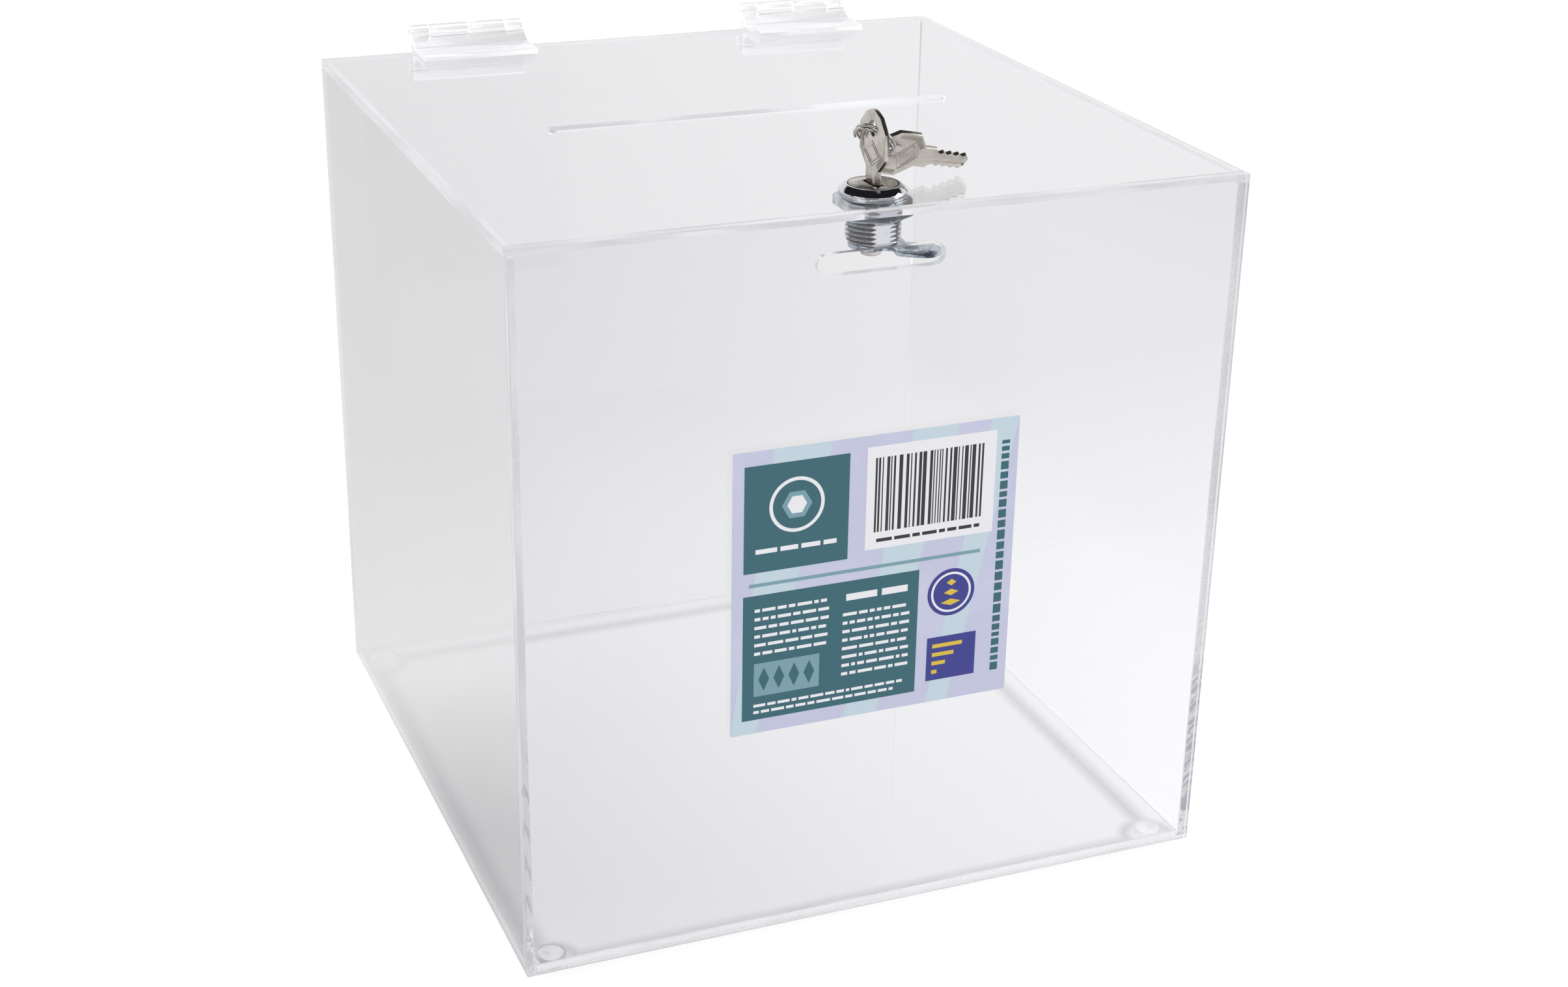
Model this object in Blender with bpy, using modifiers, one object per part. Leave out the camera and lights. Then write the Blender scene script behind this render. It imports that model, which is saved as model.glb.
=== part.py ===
"""A clear sheet drop box: five glued walls, a hinged lid with a paper slot, and a cam lock with its keys.

The origin is the middle of the floor panel's upper face. X runs to the right, Y to the back, Z up.
While the pieces are made, heights count from the floor panel's underside; the last step lowers them.
"""

import math

import bmesh
import bpy
from mathutils import Matrix, Vector

MM = 0.001

# Box and sheet
BOX_WIDTH = 250.0 * MM
BOX_DEPTH = 250.0 * MM
BOX_HEIGHT = 250.0 * MM
SHEET = 3.0 * MM
SEAM = 0.3 * MM
LID_FRONT_GAP = 0.6 * MM
ARRIS = 0.25 * MM
OVERRUN = 1.0 * MM

# Paper slot in the lid
PAPER_SLOT_LENGTH = 150.0 * MM
PAPER_SLOT_WIDTH = 5.5 * MM

# Bumper feet
FOOT_DIAMETER = 10.5 * MM
FOOT_FLAT_DIAMETER = 6.0 * MM
FOOT_HEIGHT = 3.0 * MM
FOOT_INSET = 11.0 * MM

# Printed label on the front
LABEL_WIDTH = 100.0 * MM
LABEL_HEIGHT = 100.0 * MM
LABEL_THICKNESS = 0.2 * MM
LABEL_OFFSET_X = -4.5 * MM
LABEL_MIDDLE_Z = 126.5 * MM

# Moulded hinges
HINGE_WIDTH = 44.0 * MM
HINGE_INSET = 57.5 * MM
HINGE_STAND = 6.4 * MM
LEAF_THICKNESS = 2.0 * MM
LID_LEAF_REACH = 24.0 * MM
BOX_LEAF_REACH = 20.0 * MM
NECK_REACH = 11.0 * MM
KNUCKLE_DIAMETER = 5.0 * MM
KNUCKLE_GAP = 0.4 * MM
KNUCKLE_SHARES = (0.17, 0.35, 0.33, 0.15)
NECK_RELIEF = 2.5 * MM
PIN_DIAMETER = 2.0 * MM
PIN_INSET = 0.5 * MM
RUNNING_GAP = 0.3 * MM

# Cam lock, through the lid near its front edge
LOCK_INSET = 21.0 * MM
BODY_DIAMETER = 18.0 * MM
BODY_FLATS = 15.8 * MM
BODY_LENGTH = 12.4 * MM
BEZEL_DIAMETER = 22.2 * MM
BEZEL_TOP_DIAMETER = 17.6 * MM
BEZEL_RIM = 0.7 * MM
BEZEL_HEIGHT = 2.4 * MM
PLUG_FACE_DIAMETER = 15.7 * MM
PLUG_FACE_DEPTH = 2.6 * MM
PLUG_DIAMETER = 12.6 * MM
NUT_FLATS = 22.0 * MM
NUT_HEIGHT = 4.0 * MM
NUT_CHAMFER = 0.6 * MM
TAIL_SIDE = 6.0 * MM
CAM_THICKNESS = 1.6 * MM
CAM_HUB_DIAMETER = 16.0 * MM
CAM_JOG = 1.4 * MM
CAM_JOG_RUN = 1.6 * MM
CAM_REACH = 22.6 * MM
TONGUE_WIDTH = 12.0 * MM
WASHER_DIAMETER = 8.6 * MM
WASHER_THICKNESS = 0.8 * MM
SCREW_DIAMETER = 3.0 * MM
SCREW_LENGTH = 3.4 * MM
SCREW_HEAD_DIAMETER = 7.0 * MM
SCREW_HEAD_HEIGHT = 2.0 * MM

# Slot in the front panel, which takes the cam's tongue
CAM_SLOT_LENGTH = 43.5 * MM
CAM_SLOT_HEIGHT = 7.2 * MM
CAM_SLOT_OFFSET_X = -5.5 * MM

# Keyway and wafers in the plug
WAFER_COUNT = 4
WAFER_THICKNESS = 0.9 * MM
WAFER_PITCH = 3.0 * MM
WAFER_LENGTH = 11.4 * MM
WAFER_WIDTH = 5.2 * MM
FIRST_WAFER_DEPTH = 4.6 * MM

# Keys
KEY_THICKNESS = 1.4 * MM
BOW_LENGTH = 18.9 * MM
BOW_WIDTH = 19.2 * MM
BOW_OUTLINE_SHARES = ((0.09, 0.0), (0.55, 0.085), (1.0, 0.32), (1.0, 0.75))
NECK_WIDTH = 8.8 * MM
NECK_LENGTH = 4.3 * MM
KEY_STAND = 0.3 * MM
KEY_STOP_SLOPE = 0.4 * MM
BLADE_LENGTH = 13.7 * MM
BLADE_WIDTH = 6.4 * MM
BLADE_POINT = 1.6 * MM
BITTING_DEPTH = 0.8 * MM
BITTING_COUNT = 4
GROOVE_WIDTH = 1.3 * MM
GROOVE_DEPTH = 0.3 * MM
KEY_HOLE_DIAMETER = 5.2 * MM
KEY_HOLE_DROP = 6.0 * MM

# Split ring
RING_DIAMETER = 14.4 * MM
RING_WIRE = 1.0 * MM
RING_TURN_GAP = 0.3 * MM
RING_TURNS = 2
RING_STEPS = 26

# Turns at rest, in degrees
CAM_ANGLE = 55.0
KEY_ANGLE = 0.0

# Faces on round shapes
ROUND_STEPS = 40
SMALL_STEPS = 24

# Places that follow from the sizes
HALF_WIDTH = BOX_WIDTH / 2
HALF_DEPTH = BOX_DEPTH / 2
LID_UNDERSIDE = BOX_HEIGHT - SHEET
WALL_HEIGHT = LID_UNDERSIDE - SEAM
HINGE_Y = HALF_DEPTH + HINGE_STAND
HINGE_Z = BOX_HEIGHT + HINGE_STAND
LOCK_Y = LOCK_INSET - HALF_DEPTH
BEZEL_SEAT = BOX_HEIGHT + SEAM
BODY_END = LID_UNDERSIDE - BODY_LENGTH
PLUG_FACE_Z = BEZEL_SEAT + BEZEL_HEIGHT
CAM_TOP = BODY_END - RUNNING_GAP
TONGUE_TOP = CAM_TOP - CAM_JOG
TONGUE_BOTTOM = TONGUE_TOP - CAM_THICKNESS
CAM_SLOT_MIDDLE_Z = TONGUE_BOTTOM - 1.5 * RUNNING_GAP + CAM_SLOT_HEIGHT / 2
KEYWAY_THICKNESS = KEY_THICKNESS + 2 * RUNNING_GAP
KEYWAY_WIDTH = BLADE_WIDTH + 2 * RUNNING_GAP
SHOULDER_Z = PLUG_FACE_Z + KEY_STAND
KEY_HOLE_Z = SHOULDER_Z + NECK_LENGTH + BOW_LENGTH - KEY_HOLE_DROP


def remove_all():
    """Empties the file of objects."""
    for item in list(bpy.data.objects):
        bpy.data.objects.remove(item, do_unlink=True)


def new_collection(name):
    collection = bpy.data.collections.new(name)
    bpy.context.scene.collection.children.link(collection)
    return collection


remove_all()
PARTS = new_collection("drop_box")
CUTTERS = new_collection("cutters")


def new_material(name, colour, roughness, metallic=0.0, clear=0.0):
    """A plain finish; clear is the share of light that passes through."""
    material = bpy.data.materials.new(name)
    material.use_nodes = True
    shader = material.node_tree.nodes["Principled BSDF"]
    shader.inputs["Base Color"].default_value = (*colour, 1.0)
    shader.inputs["Roughness"].default_value = roughness
    shader.inputs["Metallic"].default_value = metallic
    shader.inputs["Transmission Weight"].default_value = clear
    material.diffuse_color = (*colour, 1.0)
    return material


FINISHES = {
    "acrylic": ((0.90, 0.91, 0.93), 0.03, 0.0, 1.0),
    "clear_moulding": ((0.93, 0.94, 0.95), 0.08, 0.0, 1.0),
    "clear_rubber": ((0.90, 0.90, 0.89), 0.25, 0.0, 0.8),
    "printed_paper": ((0.06, 0.22, 0.24), 0.45, 0.0, 0.0),
    "chrome": ((0.80, 0.81, 0.83), 0.08, 1.0, 0.0),
    "nickel": ((0.72, 0.68, 0.62), 0.22, 1.0, 0.0),
    "zinc": ((0.66, 0.72, 0.78), 0.25, 1.0, 0.0),
    "brass": ((0.76, 0.62, 0.34), 0.30, 1.0, 0.0),
    "steel": ((0.60, 0.61, 0.63), 0.30, 1.0, 0.0),
}


def finish_of(name, finish):
    """Each piece gets a material of its own, in one of the object's finishes."""
    colour, roughness, metallic, clear = FINISHES[finish]
    return new_material(name + "_" + finish, colour, roughness, metallic, clear)


def add_object(name, mesh, collection=PARTS, place=(0, 0, 0)):
    item = bpy.data.objects.new(name, mesh)
    item.location = place
    collection.objects.link(item)
    return item


def add_part(name, mesh, finish, place=(0, 0, 0), smooth=False):
    """Puts a piece in the object's collection, in its own finish."""
    item = add_object(name, mesh, PARTS, place)
    mesh.materials.clear()
    mesh.materials.append(finish_of(name, finish))
    if smooth:
        mesh.shade_smooth()
        mesh.set_sharp_from_angle(angle=math.radians(30))
    return item


def as_cutter(item):
    """Moves a helper shape out of the object and hides it from renders."""
    for collection in list(item.users_collection):
        collection.objects.unlink(item)
    CUTTERS.objects.link(item)
    item.hide_render = True
    item.display_type = "WIRE"
    return item


def box_mesh(name, size, bevel=0.0):
    """A box around its own middle, with its edges broken by a small bevel."""
    shape = bmesh.new()
    bmesh.ops.create_cube(shape, size=1.0)
    bmesh.ops.scale(shape, vec=size, verts=shape.verts)
    if bevel:
        bmesh.ops.bevel(shape, geom=shape.edges[:], offset=bevel, segments=1, affect="EDGES")
    mesh = bpy.data.meshes.new(name)
    shape.to_mesh(mesh)
    shape.free()
    return mesh


def rod_mesh(name, diameter, length, steps=ROUND_STEPS):
    """A round rod along Z, around its own middle."""
    shape = bmesh.new()
    radius = diameter / 2
    bmesh.ops.create_cone(
        shape, cap_ends=True, segments=steps, radius1=radius, radius2=radius, depth=length
    )
    mesh = bpy.data.meshes.new(name)
    shape.to_mesh(mesh)
    shape.free()
    return mesh


def baked(item):
    """The mesh that an object's modifiers or curve make, as a mesh of its own."""
    bpy.context.view_layer.update()
    graph = bpy.context.evaluated_depsgraph_get()
    mesh = bpy.data.meshes.new_from_object(item.evaluated_get(graph), depsgraph=graph)
    shape = bmesh.new()
    shape.from_mesh(mesh)
    bmesh.ops.remove_doubles(shape, verts=shape.verts, dist=0.01 * SEAM)
    shape.to_mesh(mesh)
    shape.free()
    return mesh


def plate_mesh(name, outline, thickness):
    """A flat plate with the given outline in X and Y, and its middle plane at Z zero."""
    curve = bpy.data.curves.new(name, "CURVE")
    curve.dimensions = "2D"
    curve.fill_mode = "BOTH"
    curve.extrude = thickness / 2
    spline = curve.splines.new("POLY")
    spline.points.add(len(outline) - 1)
    for point, (x, y) in zip(spline.points, outline):
        point.co = (x, y, 0, 1)
    spline.use_cyclic_u = True
    item = add_object(name, curve)
    mesh = baked(item)
    bpy.data.objects.remove(item)
    return mesh


def turned_mesh(name, profile, steps=ROUND_STEPS, closed=False):
    """Turns a profile of radius and height pairs around Z; it runs down the outer side."""
    mesh = bpy.data.meshes.new(name)
    count = len(profile)
    edges = [(i, i + 1) for i in range(count - 1)]
    if closed:
        edges.append((count - 1, 0))
    mesh.from_pydata([(radius, 0, height) for radius, height in profile], edges, [])
    item = add_object(name, mesh)
    screw = item.modifiers.new("turn", "SCREW")
    screw.steps = steps
    screw.render_steps = steps
    screw.use_merge_vertices = True
    screw.merge_threshold = 0.01 * SEAM
    result = baked(item)
    bpy.data.objects.remove(item)
    return result


def turn_mesh(mesh, matrix):
    mesh.transform(matrix)
    return mesh


def boolean(item, tool, operation="DIFFERENCE"):
    """Cuts, joins or trims a piece with a helper shape."""
    as_cutter(tool)
    step = item.modifiers.new(tool.name, "BOOLEAN")
    step.operation = operation
    step.solver = "EXACT"
    step.object = tool
    return item


def arc(middle, radius, start, end, steps):
    """Points on an arc, from a start angle to an end angle in degrees, both included."""
    points = []
    for i in range(steps + 1):
        angle = math.radians(start + (end - start) * i / steps)
        points.append((middle[0] + radius * math.cos(angle), middle[1] + radius * math.sin(angle)))
    return points


def obround(length, width, steps=10):
    """The outline of a slot with round ends, lying along X."""
    radius = width / 2
    reach = length / 2 - radius
    return arc((reach, 0), radius, -90, 90, steps) + arc((-reach, 0), radius, 90, 270, steps)


def double_d(diameter, flats, steps=14):
    """A circle with two flat sides, which face Y."""
    radius = diameter / 2
    edge = math.degrees(math.asin(flats / diameter))
    right = arc((0, 0), radius, -edge, edge, steps)
    return right + arc((0, 0), radius, 180 - edge, 180 + edge, steps)


# Joint axes: an empty on each, which carries what moves
AXES = {}


def add_axis(name, place, carried_by=None):
    empty = bpy.data.objects.new(name, None)
    empty.empty_display_size = SHEET
    PARTS.objects.link(empty)
    AXES[name] = (empty, Vector(place))
    hang(empty, carried_by, place)
    return empty


def hang(item, axis_name, place):
    """Puts an object at a place in the box's frame, carried by a joint's empty."""
    place = Vector(place)
    if axis_name is None:
        item.location = place
        return item
    empty, origin = AXES[axis_name]
    item.parent = empty
    item.location = place - origin
    return item


# The glued walls
def make_walls():
    inner_depth = BOX_DEPTH - 2 * SHEET - 2 * SEAM
    inner_width = BOX_WIDTH - 2 * SHEET - 2 * SEAM

    front = box_mesh("front_panel", (BOX_WIDTH, SHEET, BOX_HEIGHT), ARRIS)
    front = add_part("front_panel", front, "acrylic", (0, SHEET / 2 - HALF_DEPTH, BOX_HEIGHT / 2))
    slot = plate_mesh("cam_slot", obround(CAM_SLOT_LENGTH, CAM_SLOT_HEIGHT), SHEET + 2 * OVERRUN)
    turn_mesh(slot, Matrix.Rotation(math.radians(90), 4, "X"))
    slot_place = (CAM_SLOT_OFFSET_X, SHEET / 2 - HALF_DEPTH, CAM_SLOT_MIDDLE_Z)
    boolean(front, add_object("cam_slot", slot, place=slot_place))

    back = box_mesh("back_panel", (BOX_WIDTH, SHEET, WALL_HEIGHT), ARRIS)
    add_part("back_panel", back, "acrylic", (0, HALF_DEPTH - SHEET / 2, WALL_HEIGHT / 2))

    for side, name in ((-1, "left_panel"), (1, "right_panel")):
        wall = box_mesh(name, (SHEET, inner_depth, WALL_HEIGHT), ARRIS)
        add_part(name, wall, "acrylic", (side * (HALF_WIDTH - SHEET / 2), 0, WALL_HEIGHT / 2))

    base = box_mesh("base_panel", (inner_width, inner_depth, SHEET), ARRIS)
    add_part("base_panel", base, "acrylic", (0, 0, SHEET / 2))


# Four clear domed feet, flat where they stand
def make_feet():
    radius = FOOT_DIAMETER / 2
    flat = FOOT_FLAT_DIAMETER / 2
    rim = FOOT_HEIGHT / 4
    dome = []
    for i in range(7):
        angle = math.radians(90 * i / 6)
        drop = rim + (FOOT_HEIGHT - rim) * math.sin(angle)
        dome.append((flat + (radius - flat) * math.cos(angle), -drop))
    profile = [(0, 0), (radius, 0)] + dome + [(0, -FOOT_HEIGHT)]
    across = HALF_WIDTH - FOOT_INSET
    along = HALF_DEPTH - FOOT_INSET
    for depth_name, y in (("front", -along), ("back", along)):
        for width_name, x in (("left", -across), ("right", across)):
            name = "foot_" + depth_name + "_" + width_name
            mesh = turned_mesh(name, profile, SMALL_STEPS)
            add_part(name, mesh, "clear_rubber", (x, y, -SEAM), smooth=True)


def make_label():
    mesh = box_mesh("label", (LABEL_WIDTH, LABEL_THICKNESS, LABEL_HEIGHT))
    y = -HALF_DEPTH - SEAM - LABEL_THICKNESS / 2
    add_part("label", mesh, "printed_paper", (LABEL_OFFSET_X, y, LABEL_MIDDLE_Z))


# The lid sheet, which lies on the walls behind the front panel
def make_lid():
    depth = BOX_DEPTH - SHEET - LID_FRONT_GAP
    middle_y = HALF_DEPTH - depth / 2
    middle_z = BOX_HEIGHT - SHEET / 2
    lid = add_part("lid_panel", box_mesh("lid_panel", (BOX_WIDTH, depth, SHEET), ARRIS), "acrylic")
    hang(lid, "lid_axis", (0, middle_y, middle_z))

    slot = plate_mesh("paper_slot", obround(PAPER_SLOT_LENGTH, PAPER_SLOT_WIDTH), SHEET + 2 * OVERRUN)
    boolean(lid, hang(add_object("paper_slot", slot), "lid_axis", (0, 0, middle_z)))

    clear = 2 * RUNNING_GAP
    outline = double_d(BODY_DIAMETER + clear, BODY_FLATS + clear)
    hole = plate_mesh("lock_hole", outline, SHEET + 2 * OVERRUN)
    boolean(lid, hang(add_object("lock_hole", hole), "lid_axis", (0, LOCK_Y, middle_z)))


# One hinge leaf: a flat, an S-shaped neck and two of the barrel's four knuckles
def leaf_outline(reach):
    """Distance from the axis towards the flat's end, and from the axis towards the glued face."""
    glued = HINGE_STAND - SEAM
    middle = glued - LEAF_THICKNESS / 2
    half = LEAF_THICKNESS / 2
    steps = 10
    near, far = [], []
    for i in range(steps + 1):
        share = i / steps
        along = NECK_REACH * share
        drop = middle * share * share * (3 - 2 * share)
        slope = middle / NECK_REACH * 6 * share * (1 - share)
        length = math.hypot(1, slope)
        near.append((along + half * slope / length, drop - half / length))
        far.append((along - half * slope / length, drop + half / length))
    nose = half / 2
    end = [
        (reach - nose, glued - LEAF_THICKNESS),
        (reach, glued - LEAF_THICKNESS + nose),
        (reach, glued),
    ]
    return near + end + far[::-1]


def leaf_mesh(name, reach, own, lies_flat):
    """A leaf around the hinge axis, which runs along X. own lists its knuckles, from the left."""
    outline = leaf_outline(reach)
    if lies_flat:
        outline = [(-along, -drop) for along, drop in outline]
    else:
        outline = [(-drop, -along) for along, drop in outline]
    to_side_view = Matrix(((0, 0, 1, 0), (1, 0, 0, 0), (0, 1, 0, 0), (0, 0, 0, 1)))
    along_x = Matrix.Rotation(math.radians(90), 4, "Y")

    leaf = add_object(name, turn_mesh(plate_mesh(name, outline, HINGE_WIDTH), to_side_view))
    barrel = turn_mesh(rod_mesh("barrel", KNUCKLE_DIAMETER, HINGE_WIDTH, SMALL_STEPS), along_x)
    tools = [add_object(name + "_barrel", barrel)]
    boolean(leaf, tools[0], "UNION")

    relief = KNUCKLE_DIAMETER + 2 * NECK_RELIEF
    left = -HINGE_WIDTH / 2
    for place, share in enumerate(KNUCKLE_SHARES):
        right = left + share * HINGE_WIDTH
        if place not in own:
            first, last = place == 0, place == len(KNUCKLE_SHARES) - 1
            start = left - (OVERRUN if first else KNUCKLE_GAP / 2)
            end = right + (OVERRUN if last else KNUCKLE_GAP / 2)
            gap = turn_mesh(rod_mesh("relief", relief, end - start, SMALL_STEPS), along_x)
            tool = add_object(name + "_relief_" + str(place), gap, place=((start + end) / 2, 0, 0))
            boolean(leaf, tool)
            tools.append(tool)
        left = right

    bore = rod_mesh("bore", PIN_DIAMETER + 2 * RUNNING_GAP, HINGE_WIDTH + 2 * OVERRUN, SMALL_STEPS)
    tools.append(add_object(name + "_bore", turn_mesh(bore, along_x)))
    boolean(leaf, tools[-1])

    mesh = baked(leaf)
    for item in [leaf] + tools:
        bpy.data.objects.remove(item)
    return mesh


def make_hinges():
    lid_leaf = leaf_mesh("lid_leaf", LID_LEAF_REACH, (0, 2), True)
    box_leaf = leaf_mesh("box_leaf", BOX_LEAF_REACH, (1, 3), False)
    along_x = Matrix.Rotation(math.radians(90), 4, "Y")
    pin_length = HINGE_WIDTH - 2 * PIN_INSET
    for side, where in ((-1, "left"), (1, "right")):
        place = (side * (HALF_WIDTH - HINGE_INSET), HINGE_Y, HINGE_Z)
        name = "hinge_lid_leaf_" + where
        leaf = add_part(name, lid_leaf.copy(), "clear_moulding", smooth=True)
        hang(leaf, "lid_axis", place)
        name = "hinge_box_leaf_" + where
        add_part(name, box_leaf.copy(), "clear_moulding", place, smooth=True)
        name = "hinge_pin_" + where
        pin = turn_mesh(rod_mesh(name, PIN_DIAMETER, pin_length, SMALL_STEPS), along_x)
        add_part(name, pin, "clear_moulding", place, smooth=True)


# The lock's fixed pieces: bezel and body in one, and the nut that clamps them to the lid
def make_housing():
    bore = PLUG_DIAMETER / 2 + RUNNING_GAP
    recess = PLUG_FACE_DIAMETER / 2 + RUNNING_GAP
    recess_floor = PLUG_FACE_Z - PLUG_FACE_DEPTH - RUNNING_GAP
    profile = [
        (recess, PLUG_FACE_Z),
        (BEZEL_TOP_DIAMETER / 2, PLUG_FACE_Z),
        (BEZEL_DIAMETER / 2, BEZEL_SEAT + BEZEL_RIM),
        (BEZEL_DIAMETER / 2, BEZEL_SEAT),
        (BODY_DIAMETER / 2, BEZEL_SEAT),
        (BODY_DIAMETER / 2, BODY_END),
        (bore, BODY_END),
        (bore, recess_floor),
        (recess, recess_floor),
    ]
    profile = [(radius, height - BOX_HEIGHT) for radius, height in profile]
    mesh = turned_mesh("lock_housing", profile, ROUND_STEPS, closed=True)
    housing = add_part("lock_housing", mesh, "chrome", smooth=True)
    hang(housing, "lid_axis", (0, LOCK_Y, BOX_HEIGHT))

    depth = BEZEL_SEAT - BODY_END + OVERRUN
    width = (BEZEL_DIAMETER - BODY_FLATS) / 2
    for side, name in ((-1, "front_flat"), (1, "back_flat")):
        cutter = add_object(name, box_mesh(name, (BEZEL_DIAMETER, width, depth)))
        across = LOCK_Y + side * (BODY_FLATS + width) / 2
        place = (0, across, BEZEL_SEAT - depth / 2)
        boolean(housing, hang(cutter, "lid_axis", place))


def make_nut():
    mesh = rod_mesh("lock_nut", NUT_FLATS / math.cos(math.radians(30)), NUT_HEIGHT, 6)
    nut = add_part("lock_nut", mesh, "zinc")
    place = (0, LOCK_Y, LID_UNDERSIDE - SEAM - NUT_HEIGHT / 2)
    hang(nut, "lid_axis", place)
    corners = nut.modifiers.new("corners", "BEVEL")
    corners.width = NUT_CHAMFER
    corners.segments = 1
    corners.limit_method = "ANGLE"
    corners.angle_limit = math.radians(70)
    bore = rod_mesh("nut_bore", BODY_DIAMETER + 2 * RUNNING_GAP, NUT_HEIGHT + 2 * OVERRUN)
    boolean(nut, hang(add_object("nut_bore", bore), "lid_axis", place))


# The plug, turned by the key, with slots for its wafers and a square tail for the cam
def make_plug():
    turned = Matrix.Rotation(math.radians(KEY_ANGLE), 4, "Z")
    face_under = PLUG_FACE_DEPTH
    body_length = PLUG_FACE_Z - BODY_END
    tail_end = PLUG_FACE_Z - (CAM_TOP - CAM_THICKNESS)
    profile = [
        (0, 0),
        (PLUG_FACE_DIAMETER / 2, 0),
        (PLUG_FACE_DIAMETER / 2, -face_under),
        (PLUG_DIAMETER / 2, -face_under),
        (PLUG_DIAMETER / 2, -body_length),
        (0, -body_length),
    ]
    plug = add_part("lock_plug", turned_mesh("lock_plug", profile), "nickel", smooth=True)
    face = (0, LOCK_Y, PLUG_FACE_Z)
    hang(plug, "plug_axis", face)

    def tool(name, mesh, drop):
        place = (0, LOCK_Y, PLUG_FACE_Z - drop)
        return hang(add_object(name, mesh), "plug_axis", place)

    root = body_length / 8
    tail = box_mesh("tail", (TAIL_SIDE, TAIL_SIDE, tail_end - body_length + root))
    square = Matrix.Rotation(math.radians(CAM_ANGLE), 4, "Z")
    boolean(plug, tool("tail", turn_mesh(tail, square), (tail_end + body_length - root) / 2), "UNION")

    keyway_depth = BLADE_LENGTH - KEY_STAND + RUNNING_GAP
    keyway = box_mesh("keyway", (KEYWAY_THICKNESS, KEYWAY_WIDTH, keyway_depth + OVERRUN))
    boolean(plug, tool("keyway", turn_mesh(keyway, turned), (keyway_depth - OVERRUN) / 2))

    mouth = box_mesh("keyway_mouth", (2 * KEYWAY_THICKNESS, NECK_WIDTH, PLUG_FACE_DEPTH))
    boolean(plug, tool("keyway_mouth", turn_mesh(mouth, turned), 0))

    for index in range(WAFER_COUNT):
        clear = 2 * RUNNING_GAP
        size = (WAFER_WIDTH + clear, PLUG_FACE_DIAMETER, WAFER_THICKNESS + clear)
        name = "wafer_slot_" + str(index + 1)
        slot = turn_mesh(box_mesh(name, size), turned)
        boolean(plug, tool(name, slot, FIRST_WAFER_DEPTH + index * WAFER_PITCH))

    hole_depth = SCREW_LENGTH + RUNNING_GAP
    hole = rod_mesh("screw_hole", SCREW_DIAMETER + 2 * RUNNING_GAP, hole_depth + OVERRUN, SMALL_STEPS)
    boolean(plug, tool("screw_hole", hole, tail_end - (hole_depth - OVERRUN) / 2))


def make_wafers():
    turned = Matrix.Rotation(math.radians(KEY_ANGLE), 4, "Z")
    for index in range(WAFER_COUNT):
        name = "lock_wafer_" + str(index + 1)
        mesh = turn_mesh(box_mesh(name, (WAFER_WIDTH, WAFER_LENGTH, WAFER_THICKNESS)), turned)
        place = (0, LOCK_Y, PLUG_FACE_Z - FIRST_WAFER_DEPTH - index * WAFER_PITCH)
        wafer = hang(add_part(name, mesh, "brass"), "plug_axis", place)
        window = box_mesh(name + "_window", (KEYWAY_THICKNESS, KEYWAY_WIDTH, 2 * WAFER_THICKNESS))
        cutter = add_object(name + "_window", turn_mesh(window, turned))
        boolean(wafer, hang(cutter, "plug_axis", place))


# The cam: a bent strip, trimmed to a round hub and a tongue
def make_cam():
    hub = CAM_HUB_DIAMETER / 2
    half = TONGUE_WIDTH / 2
    bend = hub + CAM_JOG_RUN
    top = [
        (-hub - OVERRUN, 0),
        (hub, 0),
        (bend, -CAM_JOG),
        (CAM_REACH + OVERRUN, -CAM_JOG),
    ]
    side_view = top + [(along, height - CAM_THICKNESS) for along, height in top[::-1]]
    strip = plate_mesh("lock_cam", side_view, CAM_HUB_DIAMETER + 2 * OVERRUN)
    stand_up = Matrix(((1, 0, 0, 0), (0, 0, -1, 0), (0, 1, 0, 0), (0, 0, 0, 1)))
    point_out = Matrix.Rotation(math.radians(CAM_ANGLE - 90), 4, "Z")
    turn_mesh(strip, point_out @ stand_up)
    cam = add_part("lock_cam", strip, "zinc", smooth=True)
    place = (0, LOCK_Y, CAM_TOP)
    hang(cam, "plug_axis", place)

    shoulder = math.degrees(math.asin(half / hub))
    outline = arc((0, 0), hub, shoulder, 360 - shoulder, 28)
    outline += arc((CAM_REACH - half, 0), half, -90, 90, 14)
    blank = plate_mesh("cam_outline", outline, 2 * (CAM_JOG + CAM_THICKNESS) + 2 * OVERRUN)
    blank = add_object("cam_outline", turn_mesh(blank, point_out))
    boolean(cam, hang(blank, "plug_axis", place), "INTERSECT")

    side = TAIL_SIDE + 2 * RUNNING_GAP
    square = turn_mesh(box_mesh("cam_square", (side, side, 2 * CAM_THICKNESS + OVERRUN)), point_out)
    boolean(cam, hang(add_object("cam_square", square), "plug_axis", place))


def make_cam_fastening():
    under = CAM_TOP - CAM_THICKNESS - RUNNING_GAP
    inner = SCREW_DIAMETER / 2 + RUNNING_GAP
    outer = WASHER_DIAMETER / 2
    ring = [(inner, 0), (outer, 0), (outer, -WASHER_THICKNESS), (inner, -WASHER_THICKNESS)]
    washer = turned_mesh("cam_washer", ring, SMALL_STEPS, closed=True)
    washer = add_part("cam_washer", washer, "steel", smooth=True)
    hang(washer, "plug_axis", (0, LOCK_Y, under))

    shank = SCREW_DIAMETER / 2
    head = SCREW_HEAD_DIAMETER / 2
    seat = under - WASHER_THICKNESS - RUNNING_GAP
    tip = CAM_TOP - CAM_THICKNESS + SCREW_LENGTH
    profile = [(0, tip - seat), (shank, tip - seat), (shank, 0), (head, 0)]
    for i in range(5):
        angle = math.radians(90 * i / 4)
        drop = SCREW_HEAD_HEIGHT * (1 + math.sin(angle)) / 2
        profile.append((head * (1 + math.cos(angle)) / 2, -drop))
    profile.append((0, -SCREW_HEAD_HEIGHT))
    screw = add_part("cam_screw", turned_mesh("cam_screw", profile, SMALL_STEPS), "steel", smooth=True)
    hang(screw, "plug_axis", (0, LOCK_Y, seat))


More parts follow.
